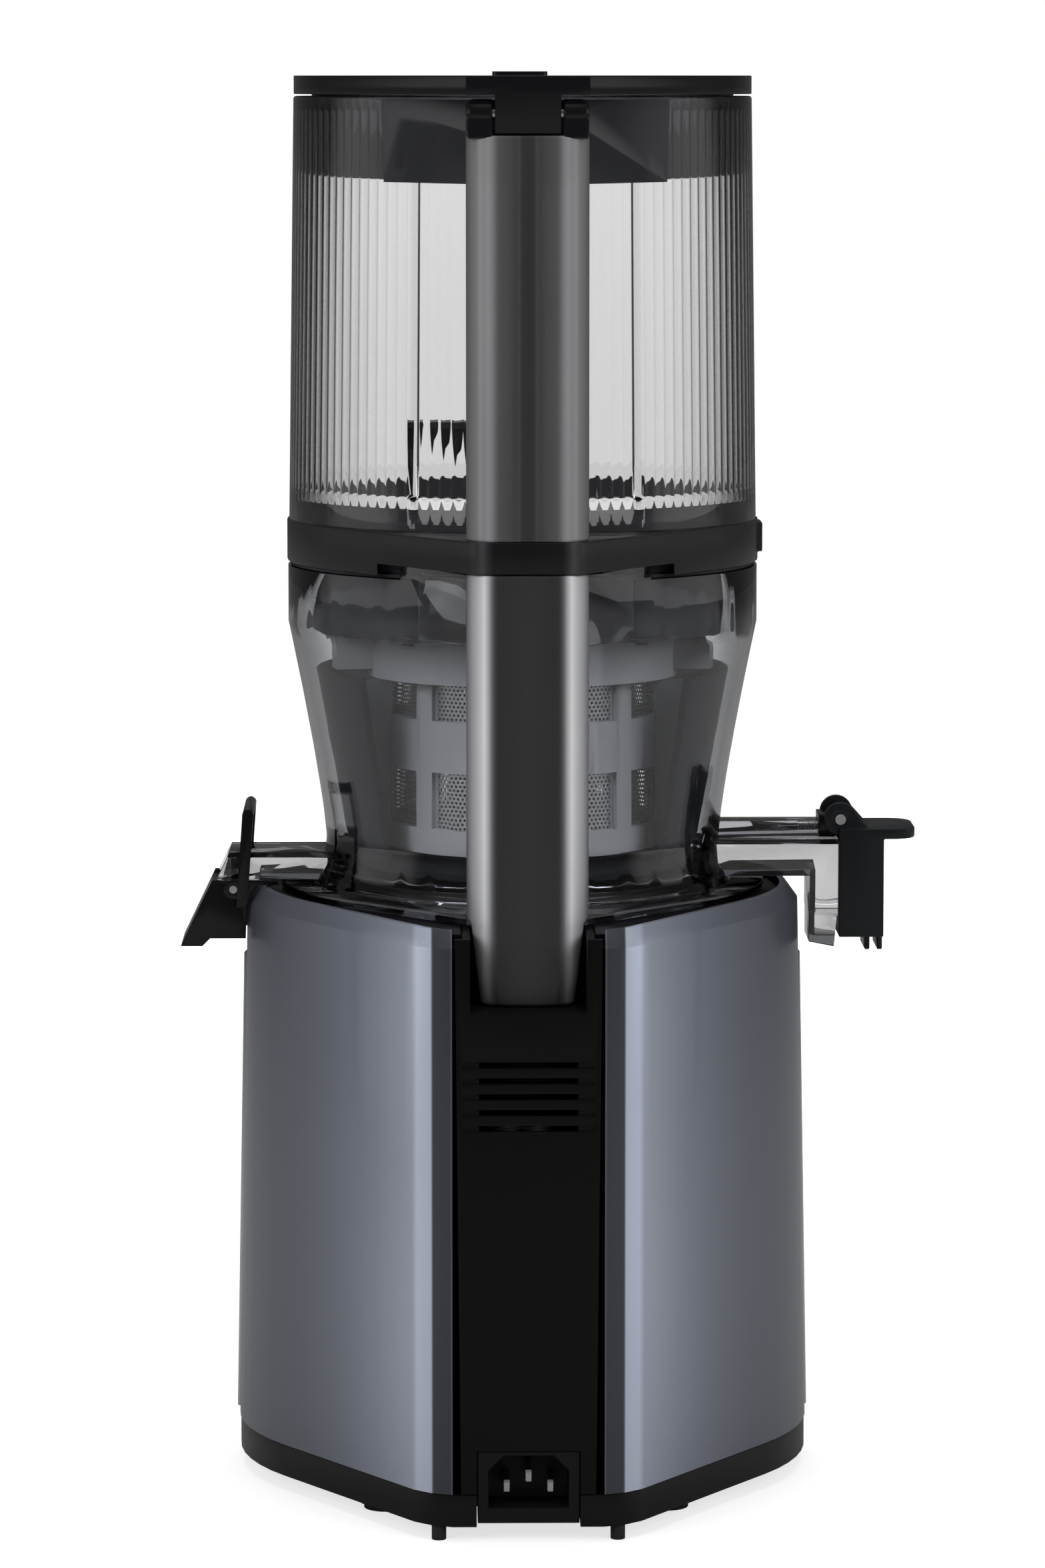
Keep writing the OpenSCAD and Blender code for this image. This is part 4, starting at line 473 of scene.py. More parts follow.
@dataclass(frozen=True)
class ClearPlastic(Finish):
    """A clear or smoked plastic that lets light through and casts a light shadow.

    Attributes:
        clear: Share of light that passes.
        bend: Refractive index.
        shade: Share of light that its shadow lets pass.
        smoke: Colour that the plastic lets through.
        density: How strongly it takes up light, per metre.
        rim: Share of the tone that's left where the wall is seen edge-on.
        edge: Share of turning away at which the tone starts to darken, and at which it is darkest.
        facing: Blend of the Layer Weight that tells how far the wall turns away.
    """

    clear: float = 1.0
    bend: float = 1.5
    shade: float = 0.75
    smoke: tuple = (0.50, 0.515, 0.555)
    density: float = 100.0
    rim: float = 0.42
    edge: tuple = (0.12, 0.72)
    facing: float = 0.5

    def banded(self, tree: Tree, colour: bpy.types.NodeSocket) -> bpy.types.NodeSocket:
        """Paints highlights and shade across the middle plane where bands are given, and darkens the tone
        where the wall is seen edge-on.

        Args:
            tree: The material's tree.
            colour: The tone's socket.

        Returns:
            The socket of the darkened colour.
        """
        colour = super().banded(tree, colour)
        if self.rim >= 1.0:
            return colour
        weight = tree.add("ShaderNodeLayerWeight", {"Blend": self.facing})
        left = tree.remap(weight.outputs["Facing"], (*self.edge, 1.0, self.rim), Ease.SOFT)
        return tree.times(colour, left)

    def material(self) -> bpy.types.Material:
        """Makes the material, with a clear shadow and with smoke inside the wall.

        Returns:
            The finished material.
        """
        material, tree, shader = self.start()
        shader.inputs["Transmission Weight"].default_value = self.clear
        shader.inputs["IOR"].default_value = self.bend
        output = next(node for node in tree.tree.nodes if node.type == "OUTPUT_MATERIAL")
        shadow = tree.add("ShaderNodeLightPath").outputs["Is Shadow Ray"]
        passing = tree.add("ShaderNodeBsdfTransparent", {"Color": (self.shade, self.shade, self.shade, 1.0)})
        mix = tree.add("ShaderNodeMixShader")
        for source, slot in zip((shadow, shader.outputs["BSDF"], passing.outputs["BSDF"]), mix.inputs):
            tree.wire(source, slot)
        tree.wire(mix.outputs["Shader"], output.inputs["Surface"])
        if self.density > 0.0:
            smoke = {"Color": (*self.smoke, 1.0), "Density": self.density}
            volume = tree.add("ShaderNodeVolumeAbsorption", smoke)
            tree.wire(volume.outputs["Volume"], output.inputs["Volume"])
        return material


@dataclass(frozen=True)
class BrushedMetal(Finish):
    """Metal with fine lines along one direction.

    Attributes:
        stretch: Factors that draw the noise out into lines.
        line_detail: Octaves of the lines.
        line_deep: Depth of the lines' bump in metres.
    """

    stretch: tuple = (1.0, 1.0, 60.0)
    line_detail: float = 2.0
    line_deep: float = 0.0001

    def material(self) -> bpy.types.Material:
        """Makes the material, with lines in place of the grain.

        Returns:
            The finished material.
        """
        material, tree, shader = self.start()
        lines = tree.noise(self.grain, self.line_detail, self.stretch)
        tree.wire(tree.remap(lines, (0.0, 1.0, self.smooth, self.rough)), shader.inputs["Roughness"])
        tree.bump(lines, self.relief, self.line_deep, shader)
        return material


@dataclass(frozen=True)
class PerforatedMetal(Finish):
    """Thin steel sheet with rows of small round holes round the drive axis.

    Attributes:
        pitch: Distance between holes in metres.
        hole: Radius of a hole as a share of the pitch.
        radius: Radius of the sheet in metres.
        row_share: Distance between rows as a share of the pitch.
        squash: Factor that makes the holes round within their rows.
    """

    pitch: float = 0.0016
    hole: float = 0.31
    radius: float = 0.0437
    row_share: float = math.sqrt(3) / 2
    squash: float = 0.87

    def material(self) -> bpy.types.Material:
        """Makes the material, with every other row of holes shifted by half a pitch.

        Returns:
            The finished material.
        """
        material, tree, shader = self.start()
        right, ahead, above = tree.parts("Object")
        x = tree.maths("SUBTRACT", right, AXIS.x)
        y = tree.maths("SUBTRACT", ahead, AXIS.y)
        around = tree.maths("MULTIPLY", tree.maths("ARCTAN2", y, x), self.radius / self.pitch)
        up = tree.maths("DIVIDE", above, self.pitch * self.row_share)
        shift = tree.maths("MULTIPLY", tree.maths("PINGPONG", tree.maths("FLOOR", up), 1.0), 0.5)
        across = tree.maths("SUBTRACT", tree.maths("FRACT", tree.maths("ADD", around, shift)), 0.5)
        along = tree.maths("MULTIPLY", tree.maths("SUBTRACT", tree.maths("FRACT", up), 0.5), self.squash)
        square = tree.maths("ADD", *(tree.maths("MULTIPLY", part, part) for part in (across, along)))
        tree.wire(tree.maths("GREATER_THAN", square, self.hole * self.hole), shader.inputs["Alpha"])
        return material


# Painted light on the side panels, as lightness by distance from the middle plane in millimetres: a painted
# highlight on the inner edge and along the bevel strip, painted shade on the return strip, and painted shade
# that deepens towards the outer sides.
PANEL_SHADE_AND_HIGHLIGHTS = (
    (0.0, 0.35), (24.0, 0.35), (24.4, 1.1), (24.9, 0.40), (30.6, 0.44), (31.1, 4.4), (35.6, 4.8), (37.2, 3.2),
    (41.0, 2.9), (48.0, 2.3), (56.0, 1.75), (64.0, 1.36), (72.0, 1.12), (80.0, 0.98), (86.0, 0.90),
    (97.0, 0.62),
)
# Painted light on the hopper collar, as lightness by distance from the middle plane in millimetres: painted
# shade in the middle and a narrow painted highlight stripe to each side.
COLLAR_SHADE_AND_HIGHLIGHT = (
    (0.0, 0.5), (11.0, 0.6), (12.5, 1.6), (14.5, 4.2), (16.5, 2.4), (19.0, 1.2), (22.0, 1.0), (80.0, 1.3),
)
# Upper handle, as lightness by distance from the middle plane in millimetres: its own dark smoky tone in the
# middle, with painted highlights along the rounded corners.
HANDLE_TONE_AND_HIGHLIGHTS = (
    (0.0, 0.038), (1.8, 0.042), (2.8, 0.076), (4.0, 0.064), (6.0, 0.085), (9.0, 0.105), (10.0, 0.15),
    (11.2, 0.27), (12.6, 0.35), (14.0, 0.30), (15.2, 0.36), (16.4, 0.25), (18.0, 0.20), (20.0, 0.13),
)
# Lower handle, the same way: its own dark smoky tone in the middle, with a bright painted highlight along
# each rounded corner.
GRIP_TONE_AND_HIGHLIGHTS = (
    (0.0, 0.040), (8.0, 0.034), (9.5, 0.035), (10.3, 0.055), (11.4, 0.17), (12.6, 0.55), (13.9, 0.95),
    (15.1, 0.75), (16.4, 0.60), (17.7, 0.46), (19.0, 0.25), (20.0, 0.15),
)

PAINT = Finish("satin grey-blue metallic paint", (0.112, 0.122, 0.149), (0.148, 0.161, 0.193), 0.32, 0.40,
               metallic=0.55, coat=0.10, grain=5200.0, relief=0.06, marks=9.0)
# The panel paint carries the painted highlights and painted shade listed above.
PANEL_PAINT_WITH_PAINTED_LIGHT = replace(PAINT, name="satin panel paint with painted light", bands=PANEL_SHADE_AND_HIGHLIGHTS)
SPINE_BLACK = Finish("matt black moulding", (0.002, 0.002, 0.0025), (0.005, 0.005, 0.0055), 0.34, 0.46,
                     grain=1900.0, relief=0.12, specular=0.14)
BAND_BLACK = Finish("satin black moulding", (0.004, 0.004, 0.005), (0.008, 0.008, 0.009), 0.3, 0.42,
                    grain=2300.0, relief=0.08, specular=0.16)
GLOSS_BLACK = Finish("polished black moulding", (0.003, 0.003, 0.004), (0.006, 0.006, 0.007), 0.14, 0.24,
                     grain=3000.0, relief=0.02, specular=0.28)
# The collar's black carries the painted shade and painted highlight stripe listed above.
COLLAR_BLACK = Finish("grained black moulding with painted light", (0.006, 0.006, 0.007), (0.016, 0.016, 0.017), 0.28, 0.42,
                      grain=1500.0, relief=0.3, specular=0.24, bands=COLLAR_SHADE_AND_HIGHLIGHT)
CAP_GREY = Finish("dark grey moulding", (0.006, 0.007, 0.008), (0.012, 0.013, 0.014), 0.28, 0.4,
                  relief=0.08, specular=0.2)
INNER_GREY = Finish("smoke grey moulding", (0.070, 0.074, 0.083), (0.100, 0.105, 0.116), 0.3, 0.45,
                    relief=0.06, specular=0.08)
STRAINER_GREY = Finish("light grey moulding", (0.38, 0.385, 0.41), (0.46, 0.465, 0.49), 0.3, 0.45,
                       relief=0.06, specular=0.08)
DEEP_GREY = Finish("deep grey moulding", (0.020, 0.021, 0.025), (0.032, 0.034, 0.039), 0.35, 0.5,
                   relief=0.06, specular=0.05)
FLOOR_GREY = Finish("hopper floor grey", (0.030, 0.031, 0.035), (0.042, 0.044, 0.049), 0.5, 0.65,
                    relief=0.06, specular=0.0)
AUGER_GREY = Finish("polished charcoal moulding", (0.006, 0.006, 0.007), (0.012, 0.012, 0.014), 0.16, 0.3,
                    relief=0.05, specular=0.3)
RUBBER = Finish("black rubber", (0.010, 0.010, 0.010), (0.020, 0.020, 0.020), 0.6, 0.8,
                grain=1600.0, relief=0.25)
SILICONE = Finish("grey silicone", (0.16, 0.165, 0.175), (0.24, 0.245, 0.255), 0.4, 0.55,
                  grain=900.0, relief=0.1)
GEAR_NYLON = Finish("cream nylon", (0.55, 0.52, 0.44), (0.70, 0.67, 0.58), 0.35, 0.5,
                    grain=1200.0, relief=0.12)
BOARD_GREEN = Finish("lacquered circuit board", (0.006, 0.055, 0.022), (0.012, 0.095, 0.036), 0.18, 0.35,
                     grain=700.0, relief=0.3)
CORE_BLACK = Finish("dark inner rib", (0.006, 0.006, 0.007), (0.014, 0.014, 0.016), 0.35, 0.5, relief=0.05)
COPPER = BrushedMetal("wound copper wire", (0.36, 0.15, 0.06), (0.62, 0.29, 0.13), 0.25, 0.4, 1.0,
                      grain=70.0, relief=0.9, stretch=(1.0, 1.0, 26.0))
STEEL = BrushedMetal("turned steel", (0.42, 0.42, 0.43), (0.62, 0.62, 0.64), 0.2, 0.36, 1.0,
                     grain=90.0, relief=0.2, stretch=(1.0, 1.0, 40.0))
SILVER = BrushedMetal("brushed silver cover", (0.50, 0.51, 0.53), (0.66, 0.67, 0.69), 0.3, 0.42, 0.9,
                      grain=80.0, relief=0.1, stretch=(1.0, 1.0, 50.0))
MESH = PerforatedMetal("perforated steel", (0.50, 0.51, 0.52), (0.68, 0.69, 0.70), 0.25, 0.4, 0.85,
                       grain=900.0, relief=0.05)
CLEAR = ClearPlastic("clear smoked plastic", (0.90, 0.905, 0.92), (0.95, 0.955, 0.965), 0.01, 0.03,
                     grain=60.0, relief=0.004, smoke=(0.42, 0.44, 0.49), density=75.0, rim=0.3, specular=0.3)
SPOUT_CLEAR = replace(CLEAR, name="clear spout plastic", dark=(0.74, 0.735, 0.735),
                      light=(0.80, 0.795, 0.795), smoke=(0.35, 0.36, 0.39), density=120.0, rim=0.3)
HOPPER_CLEAR = ClearPlastic("clear hopper plastic", (0.92, 0.915, 0.91), (0.96, 0.955, 0.95), 0.01, 0.03,
                            grain=60.0, relief=0.003, smoke=(0.42, 0.425, 0.44), density=95.0, rim=0.26,
                            specular=0.3)
SMOKED_CLEAR = ClearPlastic("smoked skirt plastic", (0.070, 0.073, 0.084), (0.100, 0.104, 0.118), 0.05, 0.1,
                            grain=60.0, relief=0.004, clear=0.8, density=0.0, shade=0.4, rim=0.7,
                            specular=0.15)
# The frosted handle plastics take their dark tone and their painted highlights from the tables above.
HANDLE_CLEAR = ClearPlastic("frosted smoke plastic with painted highlights", (0.80, 0.81, 0.86), (1.0, 1.0, 1.0), 0.26, 0.38,
                            grain=1300.0, relief=0.3, clear=0.3, shade=0.25, density=0.0, rim=1.0,
                            specular=0.35, bands=HANDLE_TONE_AND_HIGHLIGHTS)
GRIP_CLEAR = replace(HANDLE_CLEAR, name="frosted grip plastic with painted highlights", bands=GRIP_TONE_AND_HIGHLIGHTS)

SLOT_FINISHES = {
    "black_plastic": BAND_BLACK, "gloss_black": GLOSS_BLACK, "grey_paint": PAINT, "silver_cover": SILVER,
    "dark_rubber": RUBBER, "grey_silicone": SILICONE, "steel": STEEL, "copper_windings": COPPER,
    "gear_plastic": GEAR_NYLON, "board_green": BOARD_GREEN, "clear_plastic": CLEAR,
    "smoked_plastic": DEEP_GREY, "dark_moulding": INNER_GREY,
}
NODE_FINISHES = {
    "spine_cover": SPINE_BLACK, "top_deck": SPINE_BLACK, "hopper_collar": COLLAR_BLACK, "juice_cap": CAP_GREY,
    "strainer_mesh": MESH, "auger": AUGER_GREY, "upper_handle": HANDLE_CLEAR, "lower_handle": GRIP_CLEAR,
    "lid_skirt": SMOKED_CLEAR, "hopper_wall_shell": HOPPER_CLEAR, "hinge_bridge": SMOKED_CLEAR,
    "juice_spout": SPOUT_CLEAR, "pulp_spout": SPOUT_CLEAR, "hopper_floor": FLOOR_GREY,
    "brush_frame": DEEP_GREY, "strainer_frame": STRAINER_GREY, "left_panel": PANEL_PAINT_WITH_PAINTED_LIGHT,
    "right_panel": PANEL_PAINT_WITH_PAINTED_LIGHT,
}


class Paintbox:
    """Makes each material once."""

    made: dict[str, bpy.types.Material] = {}

    @classmethod
    def material(cls, finish: Finish) -> bpy.types.Material:
        """The material of a finish.

        Args:
            finish: The finish.

        Returns:
            Its material.
        """
        if finish.name not in cls.made:
            cls.made[finish.name] = finish.material()
        return cls.made[finish.name]


class Bench:
    """Modelling steps on one active object.

    Attributes:
        merge: Distance in metres below which the points of a new piece are merged.
        copy_merge: The same for a copied solid.
        flat: Angle in degrees below which the faces of a copied solid are merged.
    """

    merge: float = 0.000005
    copy_merge: float = 0.000002
    flat: float = 0.3

    @staticmethod
    def clear_selection() -> None:
        """Deselects everything in object mode."""
        if bpy.context.object and bpy.context.object.mode != "OBJECT":
            bpy.ops.object.mode_set(mode="OBJECT")
        bpy.ops.object.select_all(action="DESELECT")

    @classmethod
    def take(cls, obj: bpy.types.Object) -> None:
        """Makes an object the only selected and the active one.

        Args:
            obj: The object.
        """
        cls.clear_selection()
        obj.select_set(True)
        bpy.context.view_layer.objects.active = obj

    @classmethod
    def copy_node(cls, node: str, name: str) -> bpy.types.Object:
        """Copies a solid into a new piece with its loose triangles merged.

        Args:
            node: The solid's name.
            name: The piece's name.

        Returns:
            The new piece.
        """
        piece = bpy.data.objects.new(name, frame["nodes"][node].data.copy())
        bpy.context.scene.collection.objects.link(piece)
        cls.take(piece)
        bpy.ops.object.mode_set(mode="EDIT")
        bpy.ops.mesh.select_all(action="SELECT")
        bpy.ops.mesh.remove_doubles(threshold=cls.copy_merge)
        bpy.ops.mesh.dissolve_limited(angle_limit=math.radians(cls.flat))
        bpy.ops.object.mode_set(mode="OBJECT")
        return piece

    @classmethod
    def outline(cls, name: str, points: list[Vector], filled: bool) -> bpy.types.Object:
        """Starts a piece as a ring of vertices that is shaped to an outline, and leaves it in edit mode.

        Args:
            name: The piece's name.
            points: The outline's points in metres, in order.
            filled: True for a face inside the outline.

        Returns:
            The new piece, with everything selected.
        """
        cls.clear_selection()
        fill = "NGON" if filled else "NOTHING"
        bpy.ops.mesh.primitive_circle_add(vertices=len(points), radius=MM, fill_type=fill)
        piece = bpy.context.object
        piece.name = piece.data.name = name
        for vertex, point in zip(piece.data.vertices, points):
            vertex.co = point
        bpy.ops.object.mode_set(mode="EDIT")
        bpy.ops.mesh.select_all(action="SELECT")
        return piece

    @classmethod
    def close(cls, piece: bpy.types.Object) -> bpy.types.Object:
        """Merges doubles, turns the faces outwards, leaves edit mode and shades the piece.

        Args:
            piece: The piece, in edit mode.

        Returns:
            The piece.
        """
        bpy.ops.mesh.select_all(action="SELECT")
        bpy.ops.mesh.remove_doubles(threshold=cls.merge)
        bpy.ops.mesh.normals_make_consistent(inside=False)
        bpy.ops.object.mode_set(mode="OBJECT")
        cls.take(piece)
        bpy.ops.object.shade_smooth_by_angle(angle=math.radians(SMOOTH))
        return piece

    @classmethod
    def lathe(cls, name: str, profile: list[tuple], steps: int = 96, centre: Optional[Vector] = None,
              along: Along = Along.Z) -> bpy.types.Object:
        """Spins a closed profile into a turned piece.

        Args:
            name: The piece's name.
            profile: Points of radius and height in millimetres, the height counted from the centre.
            steps: Steps of the spin.
            centre: A point on the axis in metres, or None for the drive axis on the worktop.
            along: Direction of the axis.

        Returns:
            The turned piece.
        """
        middle = centre or Vector((AXIS.x, AXIS.y, 0.0))
        axis = Vector(along.value)
        out = Vector(Along.X.value if along is Along.Z else Along.Z.value)
        cls.outline(name, [middle + (out * r + axis * h) * MM for r, h in profile], filled=False)
        bpy.ops.mesh.spin(steps=steps, angle=math.tau, center=middle, axis=axis)
        return cls.close(bpy.context.object)

    @classmethod
    def prism(cls, name: str, points: list[Vector], run: Vector) -> bpy.types.Object:
        """Extrudes a filled outline.

        Args:
            name: The piece's name.
            points: The outline in metres.
            run: How far and which way it's extruded.

        Returns:
            The extruded piece.
        """
        cls.outline(name, points, filled=True)
        bpy.ops.mesh.extrude_region_move(TRANSFORM_OT_translate={"value": run})
        return cls.close(bpy.context.object)

    @classmethod
    def loft(cls, name: str, rows: list[list[Vector]]) -> bpy.types.Object:
        """Extrudes a filled outline through rows of sections.

        Args:
            name: The piece's name.
            rows: Sections in metres, each with as many points as the first.

        Returns:
            The closed piece.
        """
        piece = cls.outline(name, rows[0], filled=True)
        for last, row in zip(rows, rows[1:]):
            bpy.ops.mesh.extrude_region_move(TRANSFORM_OT_translate={"value": (0.0, 0.0, 0.0)})
            mesh = bmesh.from_edit_mesh(piece.data)
            place = {tuple(round(c, 7) for c in point): target for point, target in zip(last, row)}
            for vertex in mesh.verts:
                if vertex.select:
                    vertex.co = place[tuple(round(c, 7) for c in vertex.co)]
            bmesh.update_edit_mesh(piece.data)
        return cls.close(piece)

    @classmethod
    def copied(cls, piece: bpy.types.Object, moves: list[Matrix]) -> bpy.types.Object:
        """Copies a piece to further places and joins the copies to it.

        Args:
            piece: The piece.
            moves: How each copy is moved from the piece.

        Returns:
            The joined piece.
        """
        copies = []
        for move in moves:
            copy = piece.copy()
            copy.data = piece.data.copy()
            copy.data.transform(move)
            if move.determinant() < 0:
                copy.data.flip_normals()
            bpy.context.scene.collection.objects.link(copy)
            copies.append(copy)
        return cls.joined(piece, copies)

    @classmethod
    def joined(cls, piece: bpy.types.Object, others: list[bpy.types.Object]) -> bpy.types.Object:
        """Joins other pieces to a piece.

        Args:
            piece: The piece.
            others: The pieces that become part of it.

        Returns:
            The joined piece.
        """
        cls.take(piece)
        for other in others:
            other.select_set(True)
        bpy.ops.object.join()
        return piece

    @classmethod
    def round_edges(cls, piece: bpy.types.Object, width_mm: float, segments: int = 2) -> None:
        """Rounds the sharp edges of a piece and shades it.

        Args:
            piece: The piece.
            width_mm: Width of the rounding.
            segments: Steps of the rounding.
        """
        cls.take(piece)
        bevel = piece.modifiers.new("edge", "BEVEL")
        bevel.width = width_mm * MM
        bevel.segments = segments
        bevel.limit_method = "ANGLE"
        bevel.angle_limit = math.radians(SMOOTH)
        bevel.use_clamp_overlap = True
        bevel.harden_normals = False
        bpy.ops.object.modifier_apply(modifier=bevel.name)
        bpy.ops.object.shade_smooth_by_angle(angle=math.radians(SMOOTH))

    @classmethod
    def finish(cls, piece: bpy.types.Object, finish: Finish, body: str, slot: str,
               replaced: Iterable[str] = ()) -> None:
        """Paints a piece, seats it on its body and hides the solids that it stands for.

        Args:
            piece: The piece.
            finish: Its finish.
            body: The body that carries it.
            slot: Its material slot in the record; not used.
            replaced: Solids that it stands for.
        """
        piece.data.materials.clear()
        piece.data.materials.append(Paintbox.material(finish))
        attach(piece, body)
        if replaced:
            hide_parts(*replaced)
        LOG.info("%s on %s: %d faces", piece.name, body, len(piece.data.polygons))


def body_of_node(node: str) -> str:
    """Name of the body that a solid belongs to."""
    return frame["nodes"][node]["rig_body"]


def slot_of_node(node: str) -> str:
    """Name of the material slot of a solid."""
    return next(s["material_slot"] for s in frame["record"]["subparts"] if s["node"] == node)


def finish_of_node(node: str) -> Finish:
    """Finish of a solid: its own, or else its slot's."""
    return NODE_FINISHES.get(node, SLOT_FINISHES[slot_of_node(node)])


@dataclass
class Softened:
    """Outer mouldings whose solids are right but whose edges are rounded in life.

    Attributes:
        edges: How strongly the edges of each solid are rounded.
    """

    edges: dict[str, Rim] = field(default_factory=lambda: {
        "left_panel": Rim.SOFT, "right_panel": Rim.SOFT, "front_crown": Rim.SOFT, "front_cover": Rim.EASED,
        "spine_cover": Rim.CRISP, "top_deck": Rim.CRISP, "base_tray": Rim.CRISP, "power_inlet": Rim.CRISP,
        "rubber_feet": Rim.CRISP, "rear_nubs": Rim.CRISP, "hopper_collar": Rim.EASED, "lid_cover": Rim.FULL,
        "lid_button": Rim.CRISP, "hinge_bridge": Rim.EASED, "juice_cap": Rim.EASED, "pulp_chute": Rim.CRISP,
        "pulp_lever": Rim.EASED, "cap_bracket": Rim.CRISP, "juice_chamber": Rim.EASED,
        "juice_spout": Rim.EASED, "pulp_spout": Rim.CRISP, "hopper_floor": Rim.CRISP,
        "strainer_frame": Rim.EASED, "brush_frame": Rim.CRISP, "dial_ring": Rim.CRISP,
        "control_knob": Rim.EASED, "inlet_pins": Rim.CRISP, "lid_skirt": Rim.CRISP, "cap_seal": Rim.CRISP,
    })

    def build(self) -> None:
        """Builds a rounded piece for each solid."""
        for node, rim in self.edges.items():
            piece = Bench.copy_node(node, node + "_moulding")
            Bench.round_edges(piece, rim.value)
            Bench.finish(piece, finish_of_node(node), body_of_node(node), slot_of_node(node), (node,))


@dataclass
class Hopper:
    """The ribbed clear wall of the feed hopper, and the hollow edge of its floor.

    Attributes:
        flutes: Number of ribs round the inner wall.
        flute_steps: Steps of the spin for each rib.
        flute_mm: How far a rib stands in.
        flank_share: Share of that at a rib's flanks.
        foot_mm: Height of the plain wall below the ribs.
        brow_mm: Height of the plain wall above them.
        rows: Rows of the ribs between their ends.
        ends_mm: Distances of the rows from a rib's end, where it rises.
        wall_mm: Thickness of the plain wall.
        taper_mm: How much narrower the wall is at its rim.
        taper_share: Share of that at the rim's edge.
        lip_mm: Rounding of the rim.
        ease_mm: Outer and upper inset of the rim's corner.
        touch_mm: How far past the inner wall a point may lie and still count as part of it.
        guide_x_mm: Distance of a guide rib from the middle.
        guide_ring_mm: Radius on which that distance is taken.
        guide_mm: How far a guide rib stands in.
        guide_width: Half the angle that a guide rib spans, in degrees.
        bowl_gap_mm: Gap between the wall and the floor's edge.
        bowl_mm: Outline of the floor's hollow edge, as pairs of distance from its outside and height.
    """

    flutes: int = 120
    flute_steps: int = 6
    flute_mm: float = 0.28
    flank_share: float = 0.8
    foot_mm: float = 10.3
    brow_mm: float = 4.2
    rows: int = 8
    ends_mm: tuple = (0.0, 0.3, 0.8, 1.6)
    wall_mm: float = 2.4
    taper_mm: float = 2.0
    taper_share: float = 0.98
    lip_mm: float = 0.8
    ease_mm: tuple = (0.25, 0.2)
    touch_mm: float = 0.1
    guide_x_mm: float = 36.0
    guide_ring_mm: float = 75.0
    guide_mm: float = 2.8
    guide_width: float = 1.0
    bowl_gap_mm: float = 0.4
    bowl_mm: tuple = ((0.0, 0.06), (0.0, 7.0), (-0.6, 7.3), (-2.4, 4.6), (-5.6, 2.2), (-11.0, 0.8),
                      (-22.0, 0.3), (-23.0, 0.06))

    def __post_init__(self) -> None:
        """Reads the wall's foot, rim and outer radius from its solid."""
        low, high = reach("hopper_wall_shell")
        self.foot, self.rim, self.radius = low.z, high.z, high.x

    def inner(self, z: float) -> float:
        """Radius of the plain inner wall at a height."""
        return self.radius - self.wall_mm - self.taper_mm * (z - self.foot) / (self.rim - self.foot)

    def heights(self) -> list[float]:
        """Heights of the rows of the ribs, from the rim down.

        Returns:
            The heights in millimetres.
        """
        top, bottom = self.rim - self.brow_mm, self.foot + self.foot_mm
        middle = [top - (top - bottom) * i / self.rows for i in range(1, self.rows)]
        feet = [bottom + step for step in reversed(self.ends_mm)]
        return [top - step for step in self.ends_mm] + middle + feet

    def stands_in(self, turn: float, z: float) -> float:
        """How far the inner wall stands in at a place.

        Args:
            turn: The place's angle in degrees.
            z: Its height in millimetres.

        Returns:
            The distance in millimetres.
        """
        top, bottom = self.rim - self.brow_mm, self.foot + self.foot_mm
        if not bottom < z < top:
            return 0.0
        end = min(1.0, min(z - bottom, top - z) / self.ends_mm[-1])
        full = math.sqrt(max(0.0, 1.0 - (1.0 - end) ** 2))
        side = math.degrees(math.asin(self.guide_x_mm / self.guide_ring_mm))
        if min(abs(turn - 270.0 + side), abs(turn - 270.0 - side)) < self.guide_width:
            return self.guide_mm * full
        step = round(turn / 360.0 * self.flutes * self.flute_steps) % self.flute_steps
        flank = self.flank_share if step in (1, self.flute_steps - 1) else 1.0
        return 0.0 if step == 0 else self.flute_mm * flank * full

    def wall(self) -> None:
        """Builds the wall: a turned piece whose inner side is then pressed into ribs."""
        rim, outer = self.rim, self.radius - self.taper_mm
        inner, (out, down) = outer - self.wall_mm, self.ease_mm
        edge = self.radius - self.taper_mm * self.taper_share
        outside = [(self.radius, self.foot), (edge, rim - self.lip_mm), (outer - out, rim - down),
                   (outer - self.lip_mm, rim), (inner + self.lip_mm, rim), (inner + down, rim - out)]
        inside = [(self.inner(z), z) for z in self.heights()]
        profile = outside + inside + [(self.radius - self.wall_mm, self.foot)]
        wall = Bench.lathe("hopper_ribbed_wall", profile, self.flutes * self.flute_steps)
        for vertex in wall.data.vertices:
            x, y, z = vertex.co.x - AXIS.x, vertex.co.y - AXIS.y, vertex.co.z / MM
            away = math.hypot(x, y)
            if away / MM < self.inner(z) + self.touch_mm:
                share = 1.0 - self.stands_in(math.degrees(math.atan2(y, x)) % 360.0, z) * MM / away
                vertex.co.x, vertex.co.y = AXIS.x + x * share, AXIS.y + y * share
        Bench.finish(wall, HOPPER_CLEAR, "hopper", "clear_plastic", ("hopper_wall_shell",))

    def bowl(self) -> None:
        """Builds the hollow edge of the floor inside the wall."""
        start = self.radius - self.wall_mm - self.bowl_gap_mm
        profile = [(start + out, self.foot + up) for out, up in self.bowl_mm]
        bowl = Bench.lathe("hopper_floor_bowl", profile, self.flutes)
        Bench.finish(bowl, FLOOR_GREY, "hopper", slot_of_node("hopper_floor"))

    def build(self) -> None:
        """Builds the wall and the floor's edge."""
        self.wall()
        self.bowl()


